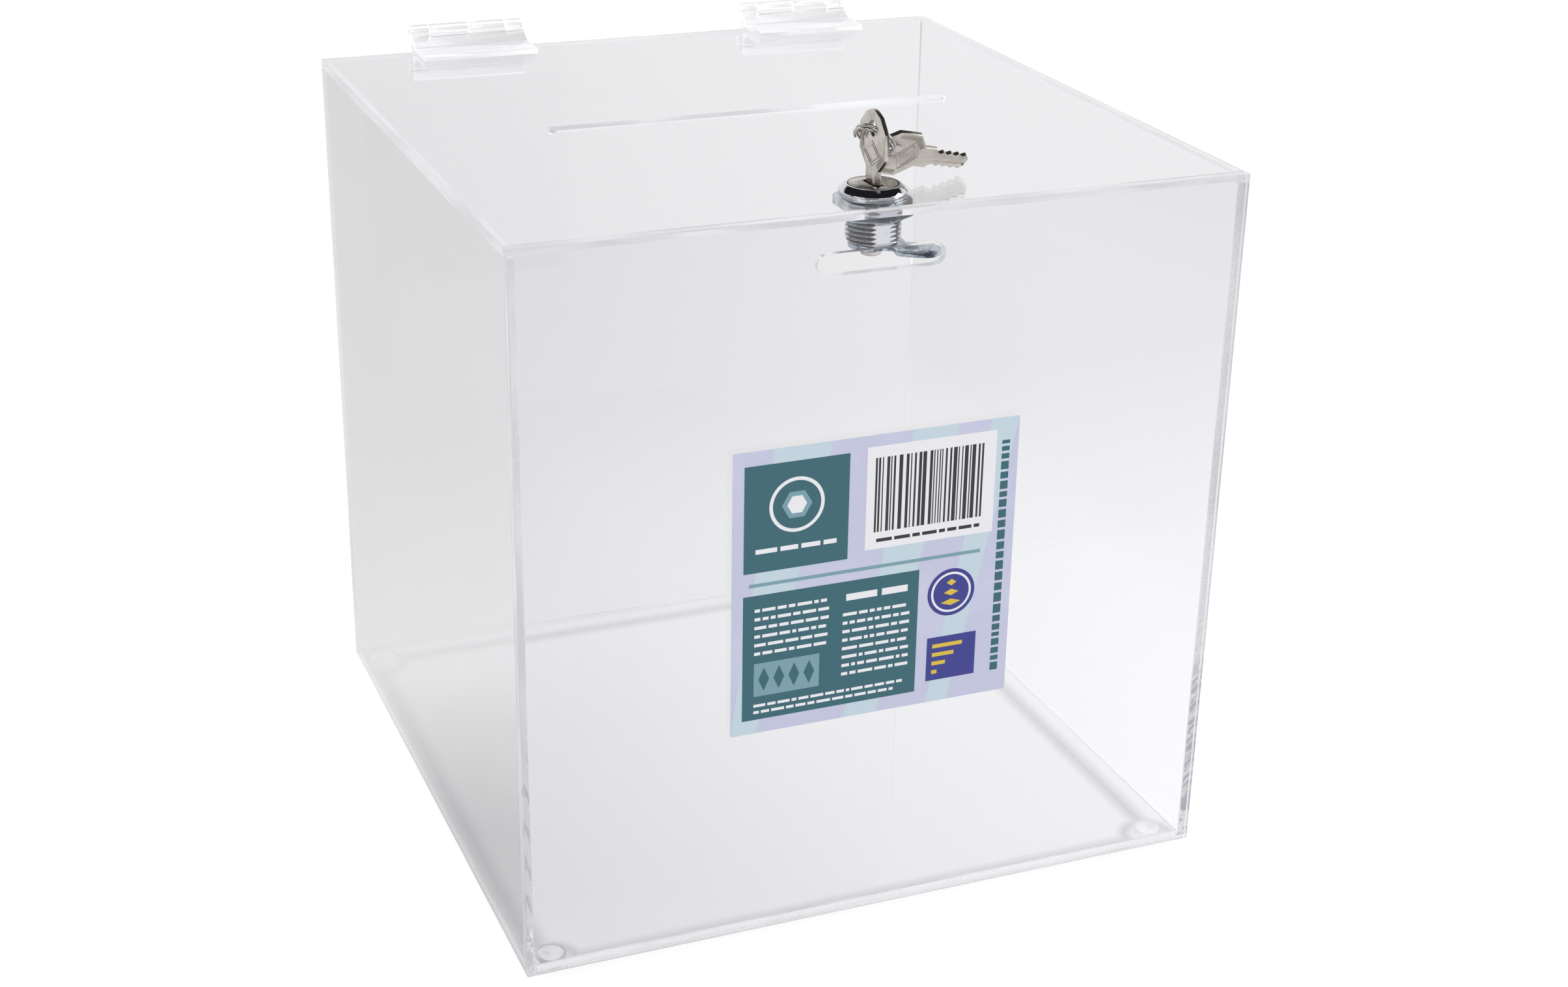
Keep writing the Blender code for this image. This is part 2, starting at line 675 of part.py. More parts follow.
# A flat key; its ring hole is at the origin, its width lies along X and its blade points down
def key_outline():
    neck_top = KEY_HOLE_DROP - BOW_LENGTH
    stop = neck_top - NECK_LENGTH
    half = []
    for across, down in BOW_OUTLINE_SHARES:
        half.append((across * BOW_WIDTH / 2, KEY_HOLE_DROP - down * BOW_LENGTH))
    half += [(NECK_WIDTH / 2, neck_top), (NECK_WIDTH / 2, stop)]
    steps = 6 * BITTING_COUNT
    first = stop - KEY_STOP_SLOPE
    run = BLADE_LENGTH - BLADE_POINT - KEY_STOP_SLOPE
    for i in range(steps + 1):
        wave = (1 - math.cos(2 * math.pi * BITTING_COUNT * i / steps)) / 2
        half.append((BLADE_WIDTH / 2 - BITTING_DEPTH * wave, first - run * i / steps))
    half.append((BLADE_WIDTH / 2 - BLADE_POINT, stop - BLADE_LENGTH))
    return half + [(-x, y) for x, y in half[::-1]]


def make_key_mesh():
    to_front_view = Matrix.Rotation(math.radians(90), 4, "X")
    blank = add_object("key_blank", turn_mesh(plate_mesh("key", key_outline(), KEY_THICKNESS), to_front_view))
    hole = rod_mesh("key_ring_hole", KEY_HOLE_DIAMETER, KEY_THICKNESS + 2 * OVERRUN, SMALL_STEPS)
    tools = [add_object("key_ring_hole", turn_mesh(hole, to_front_view))]
    boolean(blank, tools[0])
    run = BLADE_LENGTH + OVERRUN
    middle = KEY_HOLE_DROP - BOW_LENGTH - NECK_LENGTH - run / 2 - GROOVE_WIDTH
    for side in (-1, 1):
        name = "key_groove_front" if side < 0 else "key_groove_back"
        groove = box_mesh(name, (GROOVE_WIDTH, 2 * GROOVE_DEPTH, run))
        place = (side * BLADE_WIDTH / 8, side * KEY_THICKNESS / 2, middle)
        tools.append(add_object(name, groove, place=place))
        boolean(blank, tools[-1])
    mesh = baked(blank)
    for item in [blank] + tools:
        bpy.data.objects.remove(item)
    return mesh


# Where the ring and the spare key hang: shares of the ring's mean radius from the key's hole
RING_MIDDLE_SHARES = (0.345, 0.678, -0.707)
SPARE_HOLE_SHARES = (1.049, 0.942, -1.445)

# How they lie: directions in the box's frame
RING_NORMAL_SHARES = (0.655, 0.360, 0.665)
SPARE_POINT_SHARES = (0.967, 0.129, -0.218)
SPARE_WIDTH_SHARES = (0.252, -0.554, 0.793)


def square_to(direction, normal):
    """A direction's part at right angles to a normal, at length one."""
    return (direction - normal * direction.dot(normal)).normalized()


def frame_from(x_axis, y_axis, z_axis):
    """A turn that carries X, Y and Z to three directions at right angles."""
    return Matrix((x_axis, y_axis, z_axis)).transposed().to_4x4()


def make_keys():
    hole = Vector((0, LOCK_Y, KEY_HOLE_Z))
    mesh = make_key_mesh()
    turned = Matrix.Rotation(math.radians(KEY_ANGLE - 90), 4, "Z")
    key = add_part("key_in_lock", turn_mesh(mesh.copy(), turned), "nickel")
    hang(key, "key_axis", hole)

    point = Vector(SPARE_POINT_SHARES).normalized()
    width = square_to(Vector(SPARE_WIDTH_SHARES), point)
    spare = turn_mesh(mesh.copy(), frame_from(width, width.cross(point), -point))
    hang(add_part("key_spare", spare, "nickel"), "spare_axis", AXES["spare_axis"][1])

    # The wire's two ends lie as far as they can from both keys
    normal = Vector(RING_NORMAL_SHARES).normalized()
    middle = AXES["ring_axis"][1]
    to_key = square_to(hole - middle, normal)
    to_spare = square_to(AXES["spare_axis"][1] - middle, normal)
    away = -(to_key + to_spare).normalized()
    ring = turn_mesh(split_ring(), frame_from(away, normal.cross(away), normal))
    hang(add_part("key_ring", ring, "steel", smooth=True), "ring_axis", middle)


def split_ring():
    """Two turns of wire along Z, a little apart, in one tube."""
    radius = (RING_DIAMETER - RING_WIRE) / 2
    pitch = RING_WIRE + RING_TURN_GAP
    curve = bpy.data.curves.new("key_ring", "CURVE")
    curve.dimensions = "3D"
    curve.bevel_depth = RING_WIRE / 2
    curve.bevel_resolution = 2
    curve.use_fill_caps = True
    spline = curve.splines.new("POLY")
    count = RING_TURNS * RING_STEPS + 1
    spline.points.add(count - 1)
    for i, point in enumerate(spline.points):
        angle = 2 * math.pi * i / RING_STEPS
        height = pitch * (i / RING_STEPS - RING_TURNS / 2)
        point.co = (radius * math.cos(angle), radius * math.sin(angle), height, 1)
    item = add_object("split_ring", curve)
    mesh = baked(item)
    bpy.data.objects.remove(item)
    return mesh


def lower_by(depth):
    """Lowers every piece and cutter that nothing else carries."""
    for item in list(PARTS.objects) + list(CUTTERS.objects):
        if item.parent is None:
            item.location.z -= depth


def main():
    add_axis("lid_axis", (0, HINGE_Y, HINGE_Z))
    add_axis("plug_axis", (0, LOCK_Y, PLUG_FACE_Z), "lid_axis")
    add_axis("key_axis", (0, LOCK_Y, KEY_HOLE_Z), "plug_axis")
    hole = Vector((0, LOCK_Y, KEY_HOLE_Z))
    ring_radius = (RING_DIAMETER - RING_WIRE) / 2
    add_axis("ring_axis", hole + ring_radius * Vector(RING_MIDDLE_SHARES), "key_axis")
    add_axis("spare_axis", hole + ring_radius * Vector(SPARE_HOLE_SHARES), "key_axis")
    make_walls()
    make_feet()
    make_label()
    make_lid()
    make_hinges()
    make_housing()
    make_nut()
    make_plug()
    make_wafers()
    make_cam()
    make_cam_fastening()
    make_keys()
    lower_by(SHEET)
    bpy.context.view_layer.update()


main()
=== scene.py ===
# %% [markdown]
# # A clear drop box with a keyed lid
# The object is a cube of clear acrylic sheet, 250 mm on a side and 3 mm thick. Slips go in
# through a slot in the lid. The lid swings on two clear hinges, and a cam lock near its front
# edge holds it: the key turns a bent cam, whose tongue goes into a slot in the front wall.
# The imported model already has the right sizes, so this lesson only dresses it.

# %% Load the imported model
import math
import random

import bmesh
import bpy
from mathutils import Matrix, Vector


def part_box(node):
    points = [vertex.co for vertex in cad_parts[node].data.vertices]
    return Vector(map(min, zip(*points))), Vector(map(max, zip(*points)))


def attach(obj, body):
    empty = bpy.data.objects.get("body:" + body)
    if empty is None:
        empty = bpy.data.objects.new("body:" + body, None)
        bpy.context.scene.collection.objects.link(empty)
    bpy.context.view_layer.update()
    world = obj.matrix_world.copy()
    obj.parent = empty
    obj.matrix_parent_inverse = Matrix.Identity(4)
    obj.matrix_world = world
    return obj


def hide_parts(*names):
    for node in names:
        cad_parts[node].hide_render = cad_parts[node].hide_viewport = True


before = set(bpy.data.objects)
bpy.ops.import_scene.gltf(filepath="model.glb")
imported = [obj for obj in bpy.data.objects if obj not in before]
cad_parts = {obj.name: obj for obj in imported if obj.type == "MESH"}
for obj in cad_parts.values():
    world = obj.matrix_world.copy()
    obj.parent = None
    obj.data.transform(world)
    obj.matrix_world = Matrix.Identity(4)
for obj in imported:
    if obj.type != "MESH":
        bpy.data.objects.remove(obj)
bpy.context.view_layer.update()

MM = 0.001
print("pieces in the packed model:", len(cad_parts))

# %% Helpers for objects and meshes
def in_scene(name, data, place=(0, 0, 0), turn=Matrix.Identity(3)):
    """Makes an object of a mesh, lamp or camera, and puts it in the scene."""
    item = bpy.data.objects.new(name, data)
    item.matrix_world = Matrix.Translation(place) @ turn.to_4x4()
    bpy.context.scene.collection.objects.link(item)
    return item


def from_bmesh(work, name):
    mesh = bpy.data.meshes.new(name)
    work.to_mesh(mesh)
    work.free()
    return mesh


def circle(steps):
    """Points at equal steps around a circle of radius 1."""
    angles = [2 * math.pi * i / steps for i in range(steps)]
    return [(math.cos(angle), math.sin(angle)) for angle in angles]


# %% [markdown]
# ## The camera
# A long lens far away keeps the box's edges nearly parallel, as a product picture does. The
# camera stands to the left of the front and looks down at 23 degrees. Its three directions are
# written out instead of an aim point, because they fix the tilt of the horizon as well.

# %% Place the camera
CAMERA_PLACE = Vector((-304.4, -770.4, 458.9)) * MM
IMAGE_RIGHT = Vector((0.92649, -0.37593, 0.01726))
IMAGE_DOWN = Vector((-0.13420, -0.37291, -0.91811))
FORWARD = Vector((0.35158, 0.84830, -0.39594))

lens = bpy.data.cameras.new("camera")
lens.sensor_width = 36.0
lens.lens = 55.35
lens.clip_start = 0.05
lens.clip_end = 30.0
turn = Matrix((IMAGE_RIGHT, -IMAGE_DOWN, -FORWARD)).transposed()
bpy.context.scene.camera = in_scene("camera", lens, CAMERA_PLACE, turn)
print("camera looks down by", round(math.degrees(math.asin(-FORWARD.z)), 1), "degrees")

# %% [markdown]
# ## Helpers for node trees
# A material is a tree of nodes, and most lines that build one do three things: add a node,
# set its options, and fill its inputs. One function does all three. A name with a capital is an
# input's, and it takes a value or the output of another node. Any other name is an option's.
# The nodes that are used most have a short name of their own.

# %% Add nodes in one line each
def spaced(named):
    """The names of sockets as Blender writes them, with a space for each _."""
    return {name.replace("_", " "): value for name, value in named.items()}


class Nodes:
    """A tree of nodes that grows by one node a call."""

    def __init__(self, tree):
        self.tree = tree

    def fill(self, sockets, inputs):
        """Fills inputs with values or with the outputs of other nodes."""
        for key, value in inputs.items():
            if isinstance(value, bpy.types.NodeSocket):
                self.tree.links.new(value, sockets[key])
            else:
                sockets[key].default_value = value

    def add(self, kind, numbered=None, **named):
        """Adds a node, sets its options, fills its inputs and returns its outputs."""
        made = self.tree.nodes.new(kind)
        inputs = {name: named.pop(name) for name in list(named) if name[0].isupper()}
        for name, value in named.items():
            setattr(made, name, value)
        self.fill(made.inputs, {**(numbered or {}), **spaced(inputs)})
        return made.outputs

    def maths(self, operation, a, b=0.0, clamp=False):
        return self.add("ShaderNodeMath", {0: a, 1: b}, operation=operation, use_clamp=clamp)[0]

    def plus(self, a, b):
        return self.maths("ADD", a, b)

    def times(self, a, b):
        return self.maths("MULTIPLY", a, b)

    def most(self, a, b):
        return self.maths("MAXIMUM", a, b)

    def above(self, a, b):
        return self.maths("GREATER_THAN", a, b)

    def away_from(self, value, middle):
        return self.maths("ABSOLUTE", self.maths("SUBTRACT", value, middle))

    def vector(self, operation, a, b=(0, 0, 0)):
        """Vector maths, which gives a vector or, for a length or a product, a number."""
        made = self.add("ShaderNodeVectorMath", {0: a, 1: b}, operation=operation)
        return made["Value" if operation in ("LENGTH", "DISTANCE", "DOT_PRODUCT") else "Vector"]

    def parts(self, value):
        return self.add("ShaderNodeSeparateXYZ", {0: value})

    def span(self, value, low, high, to_low=0.0, to_high=1.0):
        """Carries one range of numbers to another, and holds what is outside at its ends."""
        ends = {"From_Min": low, "From_Max": high, "To_Min": to_low, "To_Max": to_high}
        return self.add("ShaderNodeMapRange", Value=value, **ends)["Result"]

    def mixed(self, factor, first, second):
        """A colour between two colours."""
        return self.add("ShaderNodeMix", {0: factor, 6: first, 7: second}, data_type="RGBA")[2]

    def noise(self, place, scale, detail, **more):
        more.update(Vector=place, Scale=scale, Detail=detail)
        return self.add("ShaderNodeTexNoise", **more)["Fac"]


WHITE = (1, 1, 1, 1)
BLACK = (0, 0, 0, 1)


def grey(level):
    return (level, level, level, 1)


def screen_colour(*parts):
    """A colour written as a screen shows it, from 0 to 255, as the renderer wants it."""
    parts = [part / 255 for part in parts]
    return (*(p / 12.92 if p <= 0.04045 else ((p + 0.055) / 1.055) ** 2.4 for p in parts), 1.0)


# %% [markdown]
# ## The studio
# Clear sheet shows mostly what is around it, so the studio matters more than the lamps. The
# floor and the air are white where the camera looks at them. Seen through the sheets the floor
# is graded grey, darker at the left and under the walls, as the box's own shade makes it. For
# rays that a surface mirrors there is a dark gap overhead between the soft boxes, and the
# polished lock needs it: chrome with nothing dark to reflect looks like white plastic.

# %% Tell mirrored rays from others
def mirrored_rays(nodes, rays):
    """One for rays that a surface has mirrored, also after they went out through two sheets."""
    turned_back = nodes.above(rays["Glossy Depth"], 0.5)
    passed = nodes.above(rays["Transmission Depth"], 2.5)
    straight = nodes.maths("SUBTRACT", rays["Is Glossy Ray"], rays["Is Transmission Ray"], True)
    return nodes.most(straight, nodes.times(turned_back, passed))


# %% Build the air around the object
world = bpy.data.worlds.new("studio_air")
bpy.context.scene.world = world
world.use_nodes = True
nodes = Nodes(world.node_tree)
nodes.tree.nodes.clear()
rays = nodes.add("ShaderNodeLightPath")
parts = nodes.parts(nodes.add("ShaderNodeTexCoord")["Generated"])
room = nodes.span(nodes.plus(parts["Y"], nodes.times(parts["X"], 0.5)), -0.5, 0.3)
walls = nodes.mixed(room, (0.30, 0.30, 0.32, 1), (0.97, 0.97, 0.98, 1))
overhead = nodes.mixed(nodes.span(parts["Z"], 0.45, 0.54), walls, (0.015, 0.015, 0.018, 1))
plain = nodes.most(rays["Is Camera Ray"], rays["Is Transmission Ray"])
seen = nodes.mixed(plain, (0.82, 0.82, 0.83, 1), WHITE)
seen = nodes.mixed(mirrored_rays(nodes, rays), seen, overhead)
background = nodes.add("ShaderNodeBackground", Color=seen, Strength=1.0)
nodes.add("ShaderNodeOutputWorld", Surface=background[0])
print("background:", world.name)

# %% Shade the floor
FLOOR_Z = -6.3 * MM
FLOOR_RADIUS = 9.0
WALL_LINE = 116.0 * MM
WALL_SHADE_HALF_WIDTH = 5.5 * MM
FOOT_PLACE = 114.0 * MM
FOOT_SHADE_RADIUS = 10.5 * MM
FOOT_SHADE_HALF_WIDTH = 3.0 * MM
BRIGHT_MIDDLE = 0.23


def contact_shade(nodes, where):
    """How much darker the floor is under the walls and around the feet, from 0 to 1."""
    flat = nodes.vector("ABSOLUTE", where)
    parts = nodes.parts(flat)
    from_wall = nodes.away_from(nodes.most(parts["X"], parts["Y"]), WALL_LINE)
    line = nodes.span(from_wall, WALL_SHADE_HALF_WIDTH, 0.0, 0.0, 0.50)
    away = nodes.vector("DISTANCE", flat, (FOOT_PLACE, FOOT_PLACE, 0))
    from_ring = nodes.away_from(away, FOOT_SHADE_RADIUS)
    ring = nodes.span(from_ring, FOOT_SHADE_HALF_WIDTH, 0.0, 0.0, 0.45)
    outside = nodes.span(away, 9.0 * MM, 11.0 * MM)
    return nodes.most(nodes.times(line, outside), ring)


def floor_seen_through_sheets(nodes, where, parts):
    """Grey at the left, paler to the right and to the back, and white far away."""
    across = nodes.span(nodes.vector("DOT_PRODUCT", where, IMAGE_RIGHT), -0.5, 0.16)
    grey = nodes.span(across, 0.0, 1.0, 0.62, 0.91)
    grey = nodes.times(grey, nodes.span(parts["Y"], -0.10, 0.35, 1.18, 0.95))
    away = nodes.vector("LENGTH", where)
    grey = nodes.mixed(nodes.span(away, 1.3, 5.0), grey, WHITE)
    return nodes.mixed(contact_shade(nodes, where), grey, (0.45, 0.45, 0.46, 1))


def floor_seen_in_mirrors(nodes, parts):
    """A bright band beside the box and a bright field behind it, on black."""
    from_band = nodes.away_from(parts["X"], BRIGHT_MIDDLE)
    band = nodes.span(from_band, 0.41, 0.21, 0.0, 0.97)
    return nodes.most(band, nodes.span(parts["Y"], -0.05, 0.10, 0.08, 0.80))


# %% Lay the floor
material = bpy.data.materials.new("pale_floor")
material.use_nodes = True
nodes = Nodes(material.node_tree)
nodes.tree.nodes.clear()
rays = nodes.add("ShaderNodeLightPath")
direct = nodes.most(rays["Is Camera Ray"], rays["Is Transmission Ray"])
direct = nodes.most(direct, rays["Is Glossy Ray"])
where = nodes.add("ShaderNodeTexCoord")["Object"]
parts = nodes.parts(where)
through = floor_seen_through_sheets(nodes, where, parts)
shade = nodes.mixed(rays["Is Transmission Ray"], WHITE, through)
mirrored = floor_seen_in_mirrors(nodes, parts)
shade = nodes.mixed(mirrored_rays(nodes, rays), shade, mirrored)
shaded = nodes.add("ShaderNodeBsdfDiffuse", Color=nodes.mixed(0.30, BLACK, shade))
glow = nodes.add("ShaderNodeEmission", Color=shade, Strength=0.74)
white = nodes.add("ShaderNodeAddShader", {0: shaded[0], 1: glow[0]})
dull = nodes.add("ShaderNodeBsdfDiffuse", Color=grey(0.75))
both = nodes.add("ShaderNodeMixShader", {0: direct, 1: dull[0], 2: white[0]})
nodes.add("ShaderNodeOutputMaterial", Surface=both[0])

work = bmesh.new()
bmesh.ops.create_circle(work, cap_ends=True, radius=FLOOR_RADIUS, segments=96)
bmesh.ops.translate(work, vec=(0, 0, FLOOR_Z), verts=work.verts)
mesh = from_bmesh(work, "floor")
mesh.materials.append(material)
in_scene("floor", mesh)
print("floor radius:", FLOOR_RADIUS, "m")

# %% Hang the soft boxes
AIM = Vector((0, 0, 120)) * MM


def soft_box(name, place, width, height, strength):
    lamp = bpy.data.lights.new(name, "AREA")
    lamp.shape = "RECTANGLE"
    lamp.size = width
    lamp.size_y = height
    lamp.energy = strength
    turn = (Vector(place) - AIM).to_track_quat("Z", "Y").to_matrix()
    in_scene(name, lamp, place, turn)


soft_box("soft_box_left", (-2.3, -0.9, 1.1), 1.8, 1.8, 14.0)
soft_box("soft_box_right", (2.3, -0.8, 1.3), 2.0, 1.8, 27.0)
bpy.context.scene.view_settings.view_transform = "Standard"

# %% [markdown]
# ## Effects that several finishes share
# Three small node groups serve many materials. Each one only puts out numbers, and the shader
# that uses them stays in the material. The first tells a sheet's cut edges from its faces, the
# second lays soft marks of handling over a surface, and the third draws the fine lines of a saw
# or a brush.

# %% Start a group of nodes
class Group(Nodes):
    """A new group with named inputs and outputs, each with the kind of its value."""

    def __init__(self, name, family, inputs, outputs):
        super().__init__(bpy.data.node_groups.new(name, family))
        for way, sockets in (("INPUT", inputs), ("OUTPUT", outputs)):
            for label, kind in sockets.items():
                kind = "NodeSocket" + kind
                self.tree.interface.new_socket(name=label, in_out=way, socket_type=kind)
        self.given = self.add("NodeGroupInput")

    def gives(self, **results):
        """Hands out the group's results, which ends it."""
        self.add("NodeGroupOutput", **results)
        return self.tree


# %% The group that finds cut edges
inputs = {"Normal": "Vector", "Across": "Vector"}
group = Group("cut_edge", "ShaderNodeTree", inputs, {"Edge": "Float"})
facing = group.vector("DOT_PRODUCT", group.given["Normal"], group.given["Across"])
# one where a surface looks sideways, and none where it looks along the direction
CUT_EDGE = group.gives(Edge=group.span(group.maths("ABSOLUTE", facing), 0.9, 0.5))
print("group:", CUT_EDGE.name)

# %% The groups of soft marks and fine lines
inputs = {"Place": "Vector", "Scale": "Float", "Amount": "Float"}
group = Group("hand_marks", "ShaderNodeTree", inputs, {"Marks": "Float", "Grain": "Float"})
place, scale, amount = (group.given[name] for name in inputs)
patches = group.span(group.noise(place, scale, 6.0, Roughness=0.62), 0.48, 0.68)
grain = group.noise(place, group.times(scale, 40.0), 3.0)
HAND_MARKS = group.gives(Marks=group.times(patches, amount), Grain=grain)

inputs = {"Place": "Vector", "Stretch": "Vector", "Scale": "Float"}
group = Group("fine_lines", "ShaderNodeTree", inputs, {"Lines": "Float"})
drawn = group.vector("MULTIPLY", group.given["Place"], group.given["Stretch"])
FINE_LINES = group.gives(Lines=group.noise(drawn, group.given["Scale"], 5.0, Roughness=0.7))
print("groups:", HAND_MARKS.name, FINE_LINES.name)

# %% [markdown]
# ## Clear acrylic
# The sheet is cast acrylic. Its faces are almost perfect mirrors for grazing light. Its outer
# edges are sawn and then polished, so they keep a slight waviness, and the little light they
# gather is painted on them as a faint glow. Its slots are cut by a laser, which leaves them
# smooth, and their walls get a painted glow that grows stronger towards the right. A glass
# shader with the refraction of acrylic, 1.49, does most of it by itself. Real light bends on its
# way through and still arrives. A renderer loses most of it, so rays from the lamps pass
# straight, and a ray that is caught between the faces for too long ends in a painted pale grey
# glow instead of in black.

# %% Start a material
class Finish(Nodes):
    """A new material with its shader, and the places and directions on a piece."""

    def __init__(self, name):
        self.material = bpy.data.materials.new(name)
        self.material.use_nodes = True
        super().__init__(self.material.node_tree)
        self.shader = self.tree.nodes["Principled BSDF"]
        where = self.add("ShaderNodeTexCoord")
        self.place, self.normal = where["Object"], where["Normal"]

    def set(self, **values):
        """Fills the shader's inputs; their names have _ in place of spaces."""
        self.fill(self.shader.inputs, spaced(values))

    def use(self, group, **inputs):
        return self.add("ShaderNodeGroup", node_tree=group, **inputs)

    def edge(self, across):
        return self.use(CUT_EDGE, Normal=self.normal, Across=across)["Edge"]

    def marks(self, scale, amount=1.0):
        return self.use(HAND_MARKS, Place=self.place, Scale=scale, Amount=amount)

    def lines(self, scale, stretch=(1, 1, 1)):
        return self.use(FINE_LINES, Place=self.place, Stretch=stretch, Scale=scale)["Lines"]

    def relief(self, height, strength, distance):
        """Tilts the surface as these heights would."""
        tilt = self.add("ShaderNodeBump", Height=height, Strength=strength, Distance=distance)
        self.set(Normal=tilt[0])


# %% Let lamps shine through
def lamps_pass(look):
    """Lets lamps shine straight through, and ends what is caught inside in a painted pale grey
    glow.
    """
    rays = look.add("ShaderNodeLightPath")
    streaks = look.span(look.noise(look.place, 28.0, 2.0, Roughness=0.5), 0.38, 0.62)
    glow = look.mixed(streaks, (0.66, 0.66, 0.68, 1), (0.84, 0.84, 0.86, 1))
    caught = look.add("ShaderNodeEmission", Color=glow, Strength=1.0)
    long = look.most(look.above(rays["Ray Depth"], 8.5), look.above(rays["Glossy Depth"], 2.5))
    inside = {0: long, 1: look.shader.outputs[0], 2: caught[0]}
    inside = look.add("ShaderNodeMixShader", inside)
    window = look.add("ShaderNodeBsdfTransparent", Color=grey(0.95))
    both = {0: rays["Is Shadow Ray"], 1: inside[0], 2: window[0]}
    both = look.add("ShaderNodeMixShader", both)
    look.fill(look.tree.nodes["Material Output"].inputs, {"Surface": both[0]})
    look.material.cycles.emission_sampling = "NONE"
    return look.material


# %% Finish of the sheets
SLOTS_END = 120 * MM
RIM_STARTS = 122 * MM


def clear_sheet(name, across):
    """Clear sheet whose faces look along one direction; all its other sides are cut edges."""
    look = Finish(name)
    edge = look.edge(across)
    parts = look.parts(look.vector("ABSOLUTE", look.place))
    reach = look.most(parts["X"], parts["Y"])
    sawn = look.times(edge, look.span(reach, SLOTS_END, RIM_STARTS, 0.1, 1.0))
    rough = look.plus(look.times(sawn, 0.10), look.marks(14.0, 0.02)["Marks"])
    # painted glow on the slots' walls, stronger towards the right
    slot = look.span(look.parts(look.place)["X"], -0.03, 0.06, 0.0, 0.20)
    slot = look.times(slot, look.span(reach, SLOTS_END, RIM_STARTS, 1.0, 0.0))
    # painted glow on the cut edges: faint on the outer edges, stronger on the slots' walls
    painted_glow = look.times(edge, look.most(slot, 0.02))
    look.set(
        Base_Color=look.mixed(edge, (0.955, 0.955, 0.965, 1), (0.90, 0.90, 0.915, 1)),
        Roughness=look.plus(rough, 0.008),
        IOR=1.49, Transmission_Weight=1.0, Emission_Strength=1.0,
        Emission_Color=look.mixed(painted_glow, BLACK, WHITE),
    )
    waves = look.times(look.noise(look.place, 9.0, 1.0), 0.06)
    saw = look.times(look.lines(700.0), look.times(sawn, 0.06))
    look.relief(look.plus(waves, saw), 1.0, 0.5 * MM)
    return lamps_pass(look)


def dress(node, material):
    """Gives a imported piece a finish, and leaves its shape alone."""
    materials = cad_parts[node].data.materials
    materials.clear()
    materials.append(material)


for name, across, members in (
    ("clear_sheet_front_and_back", (0, 1, 0), ("front_panel", "back_panel")),
    ("clear_sheet_sides", (1, 0, 0), ("left_panel", "right_panel")),
    ("clear_sheet_lid_and_floor", (0, 0, 1), ("lid_panel", "base_panel")),
):
    sheet = clear_sheet(name, across)
    for node in members:
        dress(node, sheet)
print("sheets dressed: 6")

# %% [markdown]
# ## Clear mouldings
# The hinges and the bumper feet are moulded, not cast. The hinges are hard and glossy with a
# slight flow pattern, and the light that runs inside them is painted as a faint glow, stronger
# at their ends. The feet are a soft clear rubber, a little cloudy, with a fainter painted glow.
# Seen from above each foot has a painted darker rim and a painted shaded spot beside its middle.

# %% Finish of hinges and feet
def foot_shades(look):
    """Painted shade on a foot: one on most of it, and less on its rim and in a spot beside its
    middle.
    """
    flat = look.vector("ABSOLUTE", look.place)
    offset = look.vector("ADD", flat, (-FOOT_PLACE, -FOOT_PLACE, 0))
    offset = look.vector("MULTIPLY", offset, (1, 1, 0))
    away = look.vector("LENGTH", offset)
    rim = look.span(away, 4.0 * MM, 5.25 * MM, 1.0, 0.60)
    rim = look.most(rim, look.above(away, 5.4 * MM))
    shaded_spot = look.vector("DISTANCE", offset, (1.4 * MM, -0.5 * MM, 0))
    return look.times(rim, look.span(shaded_spot, 0.6 * MM, 2.6 * MM, 0.30, 1.0))


def clear_moulding(name, tint, roughness, cloud, painted_glow):
    """Clear plastic with a faint painted glow, stronger at its ends seen along X, for the light
    that runs inside it.
    """
    look = Finish(name)
    marks = look.marks(60.0, cloud)
    # painted shade: a foot is darker on its rim and in a spot beside its middle
    painted_shade_tint = tuple(part * 0.72 for part in tint)
    look.set(
        Base_Color=look.mixed(foot_shades(look), (*painted_shade_tint, 1), (*tint, 1)),
        Roughness=look.plus(marks["Marks"], roughness),
        IOR=1.47, Transmission_Weight=1.0, Emission_Strength=1.0,
        # painted glow: strongest at the ends seen along X, faint elsewhere
        Emission_Color=look.mixed(look.edge((1, 0, 0)), grey(painted_glow), grey(0.05)),
    )
    look.relief(marks["Grain"], 0.25, 0.05 * MM)
    return lamps_pass(look)


HINGE_FINISH = clear_moulding("clear_hinge_moulding", (0.94, 0.94, 0.95), 0.03, 0.04, 0.14)
FOOT_FINISH = clear_moulding("clear_soft_rubber", (0.93, 0.93, 0.93), 0.16, 0.10, 0.04)
print("mouldings:", HINGE_FINISH.name, FOOT_FINISH.name)

# %% [markdown]
# ## Metals
# Six finishes make the lock and its keys: bright chrome on the housing, nickel on the plug and
# on the keys, bluish zinc on the nut and the cam, plain steel, and brass for the tumblers. They
# share one recipe. The colour goes from one tone to a second in soft patches, where it is rougher
# too, and fine lines from brushing tilt the surface very slightly. The housing's thread has one
# thing more: its grooves are darkened with painted shade.

# %% One recipe for metals
LOCK_MIDDLE = Vector((0, -104, 0)) * MM
PAINTED_GROOVE_SHADE = (0.05, 0.05, 0.06, 1)


def thread_shade(look):
    """One on the crests and the flats of the lock's thread, and none in its grooves, which get
    painted shade.
    """
    offset = look.vector("SUBTRACT", look.place, tuple(LOCK_MIDDLE))
    parts = look.parts(offset)
    radius = look.vector("LENGTH", look.vector("MULTIPLY", offset, (1, 1, 0)))
    crest = look.span(radius, 8.35 * MM, 8.85 * MM)
    milled = look.above(look.maths("ABSOLUTE", parts["Y"]), 7.8 * MM)
    bezel = look.above(parts["Z"], 247.2 * MM)
    return look.most(look.most(crest, milled), bezel)


